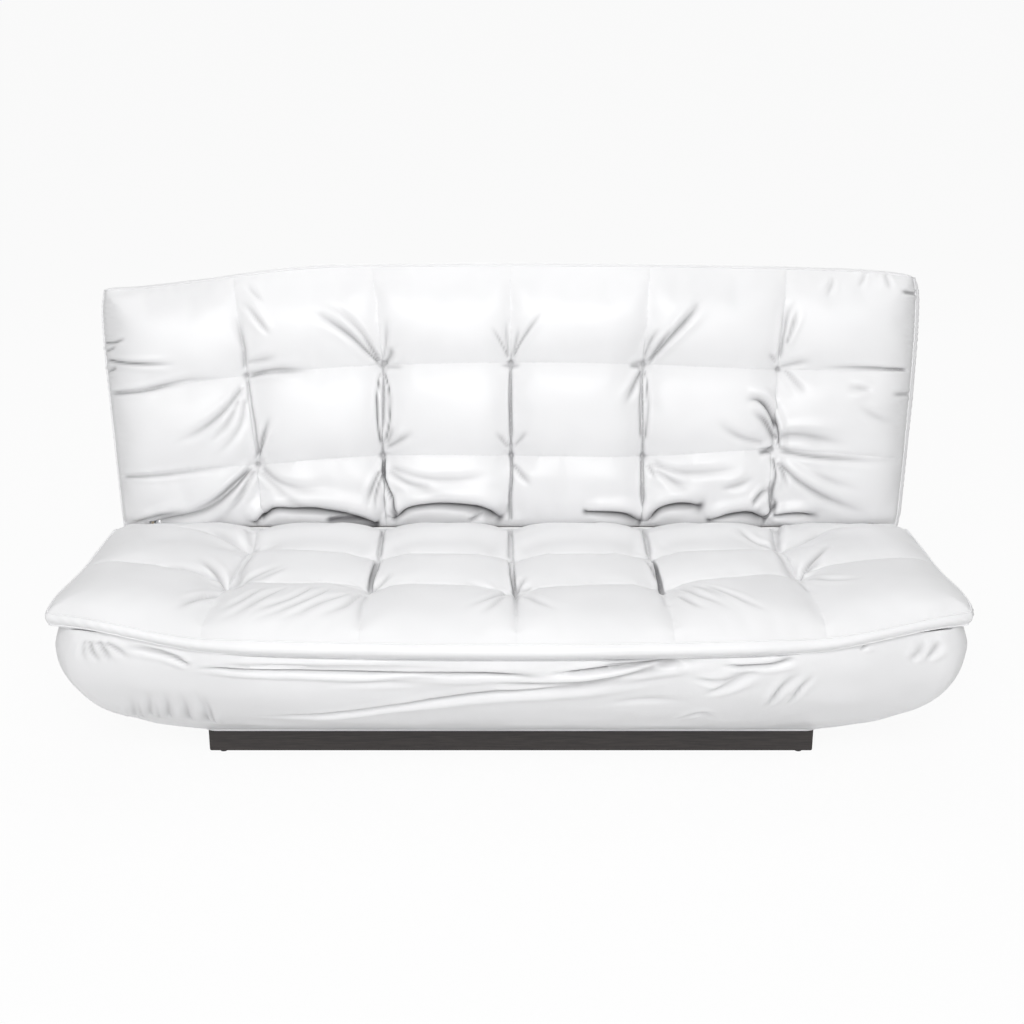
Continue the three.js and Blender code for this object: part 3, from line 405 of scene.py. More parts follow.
def empty_tree(owner: bpy.types.ID) -> bpy.types.NodeTree:
    """Gives a material or world an empty node tree.

    Args:
        owner: The material or world.

    Returns:
        Its node tree.
    """
    owner.use_nodes = True
    owner.node_tree.nodes.clear()
    return owner.node_tree


class Shader:
    """Node tree of one material while its pattern is laid on. Sizes of patterns are in millimetres."""

    def __init__(self, material: bpy.types.Material, roughness: float, metallic: float) -> None:
        """Starts with a plain surface.

        Args:
            material: The material to fill.
            roughness: How rough it is.
            metallic: 1 for a metal, 0 for anything else.
        """
        self.tree = empty_tree(material)
        self.roughness = roughness
        self.skin = add_node(self.tree, "BsdfPrincipled", Metallic=metallic, Roughness=roughness)
        add_node(self.tree, "OutputMaterial", Surface=self.skin.outputs[0])
        self.place = add_node(self.tree, "TexCoord").outputs["Object"]

    def texture(self, kind: str, size: float, out: str, settings: dict | None = None,
                **sockets) -> bpy.types.NodeSocket:
        """Value of a texture whose marks are so many millimetres apart."""
        sockets = {"Vector": self.place, "Scale": 1000 / size, **sockets}
        return add_node(self.tree, kind, settings, **sockets).outputs[out]

    def noise(self, size: float, detail: float, **sockets) -> bpy.types.NodeSocket:
        """Value of a noise whose marks are so many millimetres apart."""
        return self.texture("TexNoise", size, "Fac", Detail=detail, **sockets)

    def stretched(self, scale: tuple[float, float, float]) -> bpy.types.NodeSocket:
        """Places drawn out along an axis, as a grain runs."""
        return add_node(self.tree, "Mapping", Vector=self.place, Scale=scale).outputs[0]

    def shades(self, share: bpy.types.NodeSocket, dark: str, light: str, low: float = 0.3,
               high: float = 0.7) -> bpy.types.NodeSocket:
        """Colour between two shades, led by a pattern's value.

        Args:
            share: The pattern's value.
            dark: Colour at and below the low value.
            light: Colour at and above the high value.
            low: The low value.
            high: The high value.

        Returns:
            The colour.
        """
        ramp = add_node(self.tree, "ValToRGB", Fac=share)
        for stop, place, colour in zip(ramp.color_ramp.elements, (low, high), (dark, light), strict=True):
            stop.position = place
            stop.color = linear(colour)
        return ramp.outputs["Color"]

    def paint(self, colour: bpy.types.NodeSocket) -> None:
        """Lays a colour on the surface."""
        self.tree.links.new(colour, self.skin.inputs["Base Color"])

    def roughen(self, value: bpy.types.NodeSocket, less: float, more: float) -> None:
        """Lets the roughness vary about its own value.

        Args:
            value: The pattern's value.
            less: How far it falls.
            more: How far it rises.
        """
        span = add_node(self.tree, "MapRange", Value=value, To_Min=self.roughness - less,
                        To_Max=self.roughness + more)
        self.tree.links.new(span.outputs["Result"], self.skin.inputs["Roughness"])

    def relief(self, height: bpy.types.NodeSocket, depth: float, strength: float) -> None:
        """Lays bumps over any that are there.

        Args:
            height: The pattern's value.
            depth: Real depth in millimetres.
            strength: Share of the depth that shows.
        """
        bump = add_node(self.tree, "Bump", Strength=strength, Distance=depth * MM, Height=height)
        normal = self.skin.inputs["Normal"]
        if normal.links:
            self.tree.links.new(normal.links[0].from_socket, bump.inputs["Normal"])
        self.tree.links.new(bump.outputs["Normal"], normal)


@dataclass(frozen=True)
class Finish:
    """A surface: its colour and how it answers light. Subclasses add the pattern of the real material."""

    name: str
    colour: str
    roughness: float
    metallic: float = 0.0

    def material(self) -> bpy.types.Material:
        """Makes the material once.

        Returns:
            The material.
        """
        made = bpy.data.materials.get(self.name)
        if made is None:
            made = bpy.data.materials.new(self.name)
            shader = Shader(made, self.roughness, self.metallic)
            shader.skin.inputs["Base Color"].default_value = linear(self.colour)
            self.pattern(shader)
        return made

    def pattern(self, shader: Shader) -> None:
        """Adds the pattern of the real material."""


@dataclass(frozen=True)
class Leatherette(Finish):
    """PU leatherette: a knit coated with white polyurethane and rolled with a leather grain.

    The eye sees a satin skin with soft highlights and small creases where it bends. Where it is drawn into
    seams and folds, darker lines are painted shade, mixed into its colour.
    """

    dark: str = "ededee"
    # dark grey that the painted shade in folds and seams mixes the colour towards
    painted_shade_colour: str = "6a696c"
    grain: float = 1.3
    crinkle: float = 17.0
    gloss: float = 60.0
    tone: float = 240.0

    def pattern(self, shader: Shader) -> None:
        """Pebbled grain, faint crinkles, a slow change of tone, and painted shade in the folds.

        Args:
            shader: The material's node tree.
        """
        tones = shader.shades(shader.noise(self.tone, 2.0), self.dark, self.colour, low=0.35, high=0.6)
        # painted shade: the colour darkens towards the painted shade colour where the folds' layer is high
        drawn = add_node(shader.tree, "Attribute", {"attribute_name": PAINTED_SHADE_LAYER}).outputs["Fac"]
        mix = add_node(shader.tree, "Mix", {"data_type": "RGBA"}, Input0=drawn, Input6=tones,
                       Input7=linear(self.painted_shade_colour))
        shader.paint(mix.outputs[2])
        shader.roughen(shader.noise(self.gloss, 3.0), less=0.05, more=0.06)
        crinkles = shader.texture("TexNoise", self.crinkle, "Fac", {"noise_type": "RIDGED_MULTIFRACTAL"},
                                  Detail=3.0)
        shader.relief(crinkles, depth=0.12, strength=0.5)
        pebbles = shader.texture("TexVoronoi", self.grain, "Distance", {"feature": "SMOOTH_F1"})
        shader.relief(pebbles, depth=0.05, strength=0.5)


@dataclass(frozen=True)
class WoodFoil(Finish):
    """Chipboard wrapped in a printed dark wood foil: matt, with fine streaks along the board."""

    dark: str = "242020"
    streak: float = 2.5

    def pattern(self, shader: Shader) -> None:
        """Streaks along X and pores.

        Args:
            shader: The material's node tree.
        """
        streaks = shader.noise(self.streak, 4.0, Vector=shader.stretched((0.05, 1.0, 1.0)))
        shader.paint(shader.shades(streaks, self.dark, self.colour))
        shader.relief(streaks, depth=0.04, strength=0.4)


@dataclass(frozen=True)
class Beech(Finish):
    """Lacquered beech veneers pressed into a slat: warm, with short flecks along the grain."""

    dark: str = "a97f4f"
    ring: float = 3.0
    across: bool = False

    def pattern(self, shader: Shader) -> None:
        """Grain along the slat, flecks and veneer lines.

        Args:
            shader: The material's node tree.
        """
        run = shader.stretched((0.06, 1.0, 1.0) if self.across else (1.0, 0.06, 0.06))
        grain = shader.noise(self.ring, 5.0, Vector=run, Distortion=0.4)
        shader.paint(shader.shades(grain, self.dark, self.colour))
        shader.relief(grain, depth=0.05, strength=0.3)


@dataclass(frozen=True)
class PowderCoat(Finish):
    """Black polyester powder baked on steel tube: low sheen with a fine orange peel."""

    dark: str = "242527"
    peel: float = 1.6
    wear: float = 90.0

    def pattern(self, shader: Shader) -> None:
        """Orange peel, and a slow change of tone from handling."""
        shader.relief(shader.noise(self.peel, 1.0), depth=0.06, strength=0.5)
        shader.paint(shader.shades(shader.noise(self.wear, 2.0), self.dark, self.colour))


@dataclass(frozen=True)
class ZincPlate(Finish):
    """Pressed steel with bright zinc plate: pale metal, brushed by tumbling, with cloudy patches."""

    cloud: float = 22.0
    scratch: float = 0.8

    def pattern(self, shader: Shader) -> None:
        """Cloudy roughness and tumbling scratches."""
        shader.roughen(shader.noise(self.cloud, 3.0), less=0.1, more=0.15)
        shader.relief(shader.noise(self.scratch, 2.0), depth=0.02, strength=0.3)


@dataclass(frozen=True)
class Moulded(Finish):
    """Moulded nylon or rubber: an even dark colour with a spark-eroded texture."""

    texture: float = 0.9

    def pattern(self, shader: Shader) -> None:
        """Fine moulded texture."""
        shader.relief(shader.noise(self.texture, 2.0), depth=0.03, strength=0.6)


@dataclass(frozen=True)
class Nonwoven(Finish):
    """Spunbond polypropylene under the back: dull charcoal fibres, pressed in a grid of small points."""

    dark: str = "2c2c2e"
    point: float = 2.4
    fibre: float = 9.0

    def pattern(self, shader: Shader) -> None:
        """Bonding points and cloudy fibres.

        Args:
            shader: The material's node tree.
        """
        points = shader.texture("TexVoronoi", self.point, "Distance", {"feature": "F1"}, Randomness=0.25)
        shader.relief(points, depth=0.25, strength=0.7)
        shader.paint(shader.shades(shader.noise(self.fibre, 6.0), self.dark, self.colour))


LEATHERETTE = Leatherette("white_leatherette", "f2f2f3", 0.4)
PIPING = Leatherette("piping_leatherette", "f0f0f1", 0.42, crinkle=6.0)
THREAD = Moulded("polyester_thread", "e4e4e5", 0.6, texture=0.5)
PLINTH_FOIL = WoodFoil("dark_wood_foil", "36312f", 0.5)
CHEST_BOARD = Beech("melamine_board", "d9c8a8", 0.5, dark="c6b08a", ring=4.0, across=True)
SLAT_BEECH = Beech("lacquered_beech", "cfa876", 0.42)
BLACK_COAT = PowderCoat("black_powder_coat", "2f3032", 0.42)
ZINC = ZincPlate("bright_zinc", "b4b8bd", 0.34, 1.0)
RUBBER = Moulded("black_rubber", "1d1d1d", 0.85)
NYLON = Moulded("black_nylon", "26262a", 0.45)
DUST_COVER = Nonwoven("nonwoven_cover", "3b3b3e", 0.95)


# The camera's place, and the photograph's points on the sofa


@dataclass(frozen=True)
class Viewpoint:
    """Where the photograph was taken from: its point, tilt, and focal length in pixels of a square image."""

    image: int = 1024
    y: float = -3850.0
    z: float = 1994.0
    down_deg: float = 21.7
    focal: float = 1863.5
    middle_x: float = 511.0
    middle_y: float = 532.3
    sensor: float = 36.0
    far_clip: float = 60.0

    def project(self, points: Array) -> Array:
        """Finds where the photograph shows points.

        Args:
            points: Points in millimetres.

        Returns:
            Pixels across and down.
        """
        tilt = math.radians(self.down_deg)
        ahead, drop = points[..., 1] - self.y, self.z - points[..., 2]
        depth = ahead * math.cos(tilt) + drop * math.sin(tilt)
        across = self.middle_x + self.focal * points[..., 0] / depth
        down = self.middle_y + self.focal * (drop * math.cos(tilt) - ahead * math.sin(tilt)) / depth
        return np.stack([across, down], axis=-1)

    def camera(self) -> None:
        """Makes the scene's camera at this place."""
        data = bpy.data.cameras.new("photo_camera")
        data.sensor_width = self.sensor
        data.lens = self.focal * self.sensor / self.image
        data.shift_x = 0.5 - self.middle_x / self.image
        data.shift_y = self.middle_y / self.image - 0.5
        data.clip_end = self.far_clip
        made = bpy.data.objects.new("photo_camera", data)
        made.location = (0.0, self.y * MM, self.z * MM)
        made.rotation_euler = (math.radians(90.0 - self.down_deg), 0.0, 0.0)
        bpy.context.scene.collection.objects.link(made)
        bpy.context.scene.camera = made


VIEW = Viewpoint()
HINGE = next(j for j in frame["record"]["behaviour"]["joints"] if j["name"] == "seat_lift")["pos_m"]
HINGE_Y, HINGE_Z = HINGE[1] / MM, HINGE[2] / MM
FRAME_HALF = 836.0

# Least facing that counts as seen, and how often the lattice is smoothed for its directions
SEEN = 0.1
SMOOTHING = 5
# How a place of the photograph is found: points averaged, how much farther they may be, and how they weigh
NEAREST = 4
FARTHER = 4.0
SOFTER = 0.2
# Shortest line and step of a fold, and points along it
SHORTEST_LINE = 1.0
SHORTEST_STEP = 0.01
PATH_POINTS = 28
# A fold's section, counted in its width
REACH_WIDTHS = 5
STEEPEST = 2.3
RIDGE_AT, RIDGE_REACH = 1.9, 1.15
CUSP_REACH = 0.7
SLIDE_AT = 1.2
MOST_SLID = 0.9
NARROW_END, WIDER = 0.75, 0.6


@dataclass(frozen=True)
class Fold:
    """A line along which the cover is creased, by places measured in the photograph.

    They are a flat run of distances across and down. A positive skew raises the ridge on its left as it is
    walked, and a lean draws that ridge over the crease. It fades in over the start's share of its length and
    out over the end's. A sharp crease has a cusp in its valley, and painted shade darkens it over a spread of
    widths.
    """

    places: tuple[float, ...]
    depth: float
    width: float
    skew: float = 0.0
    lean: float = 0.0
    ridge: float = 0.45
    start: float = 0.06
    end: float = 0.55
    sharp: float = 0.4
    shade: float = 0.47
    spread: float = 0.6


class Skin:
    """A sewn skin as a lattice of points, with distances on it in millimetres."""

    def __init__(self, points: Array, along: Array, across: Array) -> None:
        """Keeps the lattice.

        Args:
            points: Lattice of points, in millimetres.
            along: Distance of each point along the lattice's first axis.
            across: Distance along its second axis.
        """
        self.points = points
        self.coords = np.stack([along, across], axis=-1)
        # painted shade in the folds, from 0 to 1 at each point
        self.drawn = np.zeros(points.shape[:2])
        self.outwards = 1.0
        off = self.frames()[2]
        eye = np.array([0.0, VIEW.y, VIEW.z]) - points
        facing = (off * eye).sum(-1) / np.linalg.norm(eye, axis=-1)
        self.outwards = 1.0 if np.median(facing) > 0 else -1.0
        seen = facing * self.outwards > SEEN
        self.pixels = np.where(seen[..., None], VIEW.project(points), -FAR_OFF)

    def frames(self) -> tuple[Array, Array, Array]:
        """Finds the skin's directions at each point.

        Returns:
            Unit directions along both axes, and outwards off the skin.
        """
        smooth = blurred(self.points, SMOOTHING)
        first = np.gradient(smooth, axis=0)
        second = np.gradient(smooth, axis=1)
        first /= np.linalg.norm(first, axis=-1, keepdims=True) + TINY
        second /= np.linalg.norm(second, axis=-1, keepdims=True) + TINY
        off = np.cross(first, second) * self.outwards
        off /= np.linalg.norm(off, axis=-1, keepdims=True) + TINY
        return first, second, off

    def locate(self, pixels: Array) -> Array:
        """Finds the places on the skin that the photograph shows at some pixels.

        Args:
            pixels: Pixels across and down.

        Returns:
            Distances along and across the skin.
        """
        found = []
        for pixel in pixels:
            distance = ((self.pixels - pixel) ** 2).sum(-1).ravel()
            near = np.argpartition(distance, NEAREST)[:NEAREST]
            near = near[distance[near] < distance[near].min() + FARTHER]
            weight = 1 / (distance[near] + SOFTER)
            found.append((self.coords.reshape(-1, 2)[near] * weight[:, None]).sum(0) / weight.sum())
        return np.asarray(found)

    def path_of(self, fold: Fold) -> Array | None:
        """Line of a fold on the skin.

        Args:
            fold: The fold.

        Returns:
            Points along it, or nothing where the skin doesn't show it.
        """
        knots = self.locate(np.reshape(fold.places, (-1, 2)))
        run = np.concatenate([[0.0], np.cumsum(np.linalg.norm(np.diff(knots, axis=0), axis=1))])
        if run[-1] < SHORTEST_LINE:
            return None
        keep = np.concatenate([[True], np.diff(run) > SHORTEST_STEP])
        knots, run = knots[keep], run[keep]
        at = np.linspace(0, run[-1], PATH_POINTS)
        return np.stack([through(run, knots[:, k], at) for k in (0, 1)], axis=1)

    def crease(self, folds: list[Fold]) -> None:
        """Presses folds into the skin: a valley with a ridge on both sides, and painted shade in the valley.

        Args:
            folds: The folds, of which each adds to the ones before.
        """
        first, second, off = self.frames()
        lift = np.zeros(self.drawn.shape)
        slide = np.zeros(self.coords.shape)
        for fold in folds:
            path = self.path_of(fold)
            if path is None:
                continue
            margin = REACH_WIDTHS * fold.width
            low, high = path.min(0) - margin, path.max(0) + margin
            near = np.all((self.coords > low) & (self.coords < high), axis=-1)
            here = self.coords[near]
            a, step = path[:-1], np.diff(path, axis=0)
            size = (step**2).sum(1) + TINY
            t = np.clip(((here[:, None] - a) * step).sum(-1) / size, 0, 1)
            gap = here[:, None] - (a + t[..., None] * step)
            distance = np.linalg.norm(gap, axis=-1)
            k = distance.argmin(1)
            pick = np.arange(len(k))
            own, share = gap[pick, k], (k + t[pick, k]) / len(a)
            side = np.sign(step[k, 0] * own[:, 1] - step[k, 1] * own[:, 0])
            d = distance[pick, k]
            deep = min(fold.depth, STEEPEST * fold.width)
            strength = ease(share / fold.start) * ease((1 - share) / fold.end) * deep
            beyond = np.where((share <= 0) | (share >= 1), bell(d, fold.width), 1.0)
            width = fold.width * (NARROW_END + WIDER * share)
            valley = (1 - fold.sharp) * bell(d, width) + fold.sharp * cusp(d, CUSP_REACH * width)
            ridge = fold.ridge * bell(d - RIDGE_AT * width, RIDGE_REACH * width) * (1 + fold.skew * side)
            lift[near] += strength * (ridge - valley) * beyond
            normal = np.stack([-step[k, 1], step[k, 0]], axis=1) / np.sqrt(size[k])[:, None]
            over = fold.lean * np.minimum(strength, MOST_SLID * fold.width)
            over = over * bell(d - SLIDE_AT * width, SLIDE_AT * width) * ease(0.5 + side * d / (0.5 * width))
            slide[near] -= normal * (over * beyond)[:, None]
            # painted shade: darker where the fold is deep for its width
            shade = np.minimum(fold.shade * strength / fold.width, 1.0)
            self.drawn[near] = np.maximum(self.drawn[near], shade * bell(d, fold.spread * width) * beyond)
        self.points = self.points + off * lift[..., None]
        self.points += first * slide[..., :1] + second * slide[..., 1:]

    def ripple(self, window: Array, length: float, height: float, tilt: float) -> None:
        """Adds a run of small parallel gathers.

        Args:
            window: Share of the height at each point.
            length: Distance from gather to gather.
            height: Height of a gather.
            tilt: How far the gathers turn from the first axis, in degrees.
        """
        turn = math.radians(tilt)
        place = self.coords[..., 0] * math.cos(turn) + self.coords[..., 1] * math.sin(turn)
        wobble = waves(self.coords[..., 0], self.coords[..., 1], 6 * length, Seed.GATHERS) * 0.9
        wave = np.sin(2 * math.pi * place / length + 3 * wobble)
        self.points = self.points + self.frames()[2] * (height * window * wave)[..., None]


# What the photograph shows: where the covers are creased


SLOPE = {"ridge": 0.0, "start": 0.1, "end": 0.1, "sharp": 0.0}
PLEAT = {"start": 0.12, "end": 0.8, "sharp": 0.3}
# hanging bulges: deep folds with strong, wide painted shade
BULGE = {"skew": 0.6, "lean": 1.1, "ridge": 0.3, "shade": 2.4, "spread": 1.0}

BACK_FOLDS = [
    # second column's upper tuft
    Fold((382, 366, 367, 352, 352, 338, 330, 322, 306, 309), 10, 8, skew=-0.5, lean=0.5),
    Fold((381, 363, 368, 342, 355, 322), 7, 6, end=0.7),
    Fold((380, 359, 362, 332, 341, 312, 320, 301), 4.5, 7),
    Fold((384, 365, 390, 355, 391, 345), 8, 8, skew=-0.3, end=0.4),
    Fold((384, 358, 386, 332, 386, 314), 4, 6),
    Fold((386, 367, 406, 367), 4, 7),
    # middle column's upper tuft
    Fold((509, 358, 500, 340, 490, 324), 4, 4.6),
    Fold((508, 356, 507, 335, 506, 318), 4, 4.6),
    Fold((512, 358, 519, 345, 532, 325, 545, 308), 5.5, 5),
    Fold((513, 356, 516, 340, 519, 325), 5, 6),
    Fold((500, 365, 522, 366), 4, 6, start=0.3, end=0.3),
    # fourth column's upper tuft
    Fold((645, 364, 658, 350, 672, 335, 690, 315, 706, 296), 11, 8, skew=0.4, lean=0.5, end=0.4),
    Fold((648, 359, 660, 342, 673, 324), 6, 6),
    Fold((644, 357, 650, 341, 661, 326), 5, 6),
    Fold((642, 369, 633, 389, 624, 407), 8, 7),
    Fold((628, 366, 642, 365), 7, 7, start=0.5, end=0.2),
    # fifth column's upper tuft
    Fold((779, 360, 784, 332, 787, 315, 798, 294), 6, 6.5),
    Fold((786, 345, 794, 322, 798, 305), 6, 6),
    Fold((784, 370, 795, 382, 808, 396), 4.5, 7),
    Fold((780, 367, 800, 363, 815, 361), 5, 8),
    Fold((776, 362, 768, 352), 5, 7),
    # first column's upper tuft
    Fold((245, 370, 244, 350, 240, 332, 235, 312), 6, 7),
    Fold((271, 337, 256, 318, 240, 298), 5, 7, start=0.3),
    Fold((265, 303, 252, 291, 245, 280), 3, 6, start=0.3),
    Fold((248, 376, 270, 371, 292, 370, 315, 371), 8, 8, skew=-0.4),
    Fold((247, 362, 262, 360, 280, 356), 5, 9),
    Fold((244, 386, 225, 410, 201, 430, 168, 446), 9, 9, skew=0.3, lean=0.3),
    Fold((240, 400, 227, 425, 208, 446), 5, 8),
    Fold((246, 400, 241, 425, 225, 447, 208, 458), 4, 9),
    # first column between its tufts, and its lower tuft
    Fold((247, 377, 252, 410, 256, 440, 258, 461), 5, 4.5, end=0.1),
    Fold((258, 459, 262, 436, 271, 413), 9, 7, skew=-0.4, lean=0.4),
    Fold((256, 459, 262, 446, 268, 425), 4, 5),
    Fold((260, 467, 280, 482, 305, 489, 332, 485), 6, 10),
    Fold((259, 470, 280, 490, 305, 501, 342, 499), 5, 10),
    Fold((255, 466, 232, 492, 207, 511, 172, 521, 136, 527), 14, 11, skew=0.4, lean=0.6, end=0.3),
    Fold((252, 468, 236, 482, 216, 500, 187, 514), 9, 8),
    Fold((257, 470, 244, 492, 228, 511), 6, 7),
    Fold((253, 477, 240, 500, 222, 517), 4, 6),
    # second column: double fold, lower tuft, hooked fold down to the seat
    Fold((380, 372, 377, 400, 379, 425, 382, 446), 6, 3.4, end=0.1),
    Fold((384, 372, 389, 390, 389, 420, 385, 444), 5.5, 3.4, end=0.1),
    Fold((386, 448, 400, 440, 415, 431), 7, 8),
    Fold((387, 444, 391, 434, 393, 424), 5, 7),
    Fold((380, 470, 372, 490, 366, 509), 8, 6),
    Fold((382, 474, 377, 490, 374, 511), 7, 5),
    Fold((384, 457, 384, 475, 387, 488, 392, 499, 391, 520), 11, 5, skew=-0.3, end=0.1),
    Fold((387, 469, 405, 482, 430, 489, 462, 492), 6, 10),
    Fold((390, 466, 417, 477, 455, 480, 502, 471), 5, 10),
    # middle column
    Fold((510, 367, 510, 400, 511, 430, 511, 449), 3.5, 3.2, end=0.05),
    Fold((511, 452, 512, 475, 510, 497, 511, 522), 4.5, 3.6, end=0.05),
    Fold((513, 464, 522, 476, 533, 488), 6, 7),
    Fold((509, 447, 500, 437, 494, 431), 5, 7),
    Fold((514, 446, 522, 437, 528, 430), 5, 7),
    # fourth column
    Fold((641, 370, 640, 400, 641, 440), 4.5, 3.2, end=0.1),
    Fold((645, 370, 647, 400, 645, 441), 4.5, 3.2, end=0.1),
    Fold((642, 458, 642, 487, 644, 516), 5, 4.5, end=0.1),
    Fold((650, 462, 675, 471, 712, 472, 752, 466), 6, 10),
    Fold((655, 470, 680, 485, 697, 490), 6, 9),
    Fold((718, 490, 740, 485, 757, 475), 6, 9, start=0.4),
    Fold((647, 464, 653, 474, 657, 480), 5, 6),
    # fifth column: the big curled fold, its shadow, and the hooks under it
    Fold((777, 447, 776, 433, 771, 416, 761, 402, 744, 398), 17, 9, skew=-0.6, lean=0.8, end=0.35),
    Fold((774, 442, 764, 422, 750, 409), 10, 7),
    Fold((764, 443, 738, 436, 714, 420), 6, 10),
    Fold((778, 436, 800, 436, 825, 440, 850, 445), 10, 13),
    Fold((777, 449, 812, 456, 850, 459, 902, 460), 9, 8, skew=-0.4, end=0.7),
    Fold((772, 457, 775, 475, 771, 492, 772, 512), 9, 5.5, end=0.1),
    Fold((771, 450, 757, 453), 10, 7),
    Fold((752, 501, 765, 491, 771, 487), 9, 6),
    Fold((764, 516, 775, 503, 769, 495), 11, 6),
    Fold((777, 461, 800, 482, 830, 500, 872, 515), 11, 10, skew=0.4, lean=0.3),
    Fold((777, 462, 784, 475, 787, 492), 7, 7),
    Fold((805, 467, 830, 480, 864, 491), 5, 10, start=0.4),
    # side edges and the top band
    Fold((103, 360, 118, 362, 142, 364, 179, 364), 9, 5.5),
    Fold((102, 343, 112, 343, 127, 338), 7, 5),
    Fold((103, 352, 118, 346), 5, 4.5),
    Fold((104, 372, 118, 367), 6, 5),
    Fold((106, 394, 140, 391, 190, 380, 240, 378), 8, 7, end=0.8),
    Fold((121, 477, 170, 474, 215, 468, 252, 462), 6, 6, end=0.8),
    Fold((916, 294, 900, 291), 9, 5),
    Fold((913, 394, 890, 394), 6, 6),
    Fold((875, 391, 845, 386), 5, 9, start=0.4),
    Fold((909, 370, 870, 368, 812, 367), 7, 5, end=0.7),
    Fold((835, 276, 826, 299), 3.5, 7, start=0.3),
    Fold((886, 272, 891, 292), 4, 7),
    Fold((866, 273, 858, 288), 3, 6),
    Fold((856, 405, 880, 418, 900, 424), 4, 11, start=0.4),
    # the hanging bulges over the seat: deep, with the cover drawn down over them, and strong painted shade in
    # the hollows under them
    Fold((252, 525, 262, 514, 272, 508, 296, 508, 325, 510, 355, 517, 381, 525), 34, 13, start=0.1,
         end=0.1, **BULGE),
    Fold((322, 519, 350, 522, 381, 526), 8, 8, start=0.3, end=0.1, shade=2.4, spread=1.0),
    Fold((391, 521, 404, 509, 425, 504, 455, 504, 481, 508, 506, 520), 34, 12, start=0.1, end=0.15,
         **BULGE),
    Fold((470, 521, 482, 515, 492, 513), 8, 7),
    Fold((580, 511, 605, 512, 626, 515, 643, 523), 26, 11, start=0.3, end=0.1, **BULGE | {"skew": 0.5,
         "lean": 1.0}),
    Fold((646, 520, 657, 509, 675, 504, 690, 504, 708, 507), 32, 12, start=0.1, end=0.4, **BULGE),
    Fold((704, 522, 725, 515, 750, 513, 768, 520), 32, 12, start=0.25, end=0.1, **BULGE),
    Fold((773, 515, 795, 514, 824, 517), 20, 10, skew=0.5, lean=0.6, end=0.6, shade=1.0),
    Fold((128, 526, 142, 521, 158, 517, 188, 509), 5, 8, skew=0.5, lean=0.4, start=0.3, end=0.4),
]

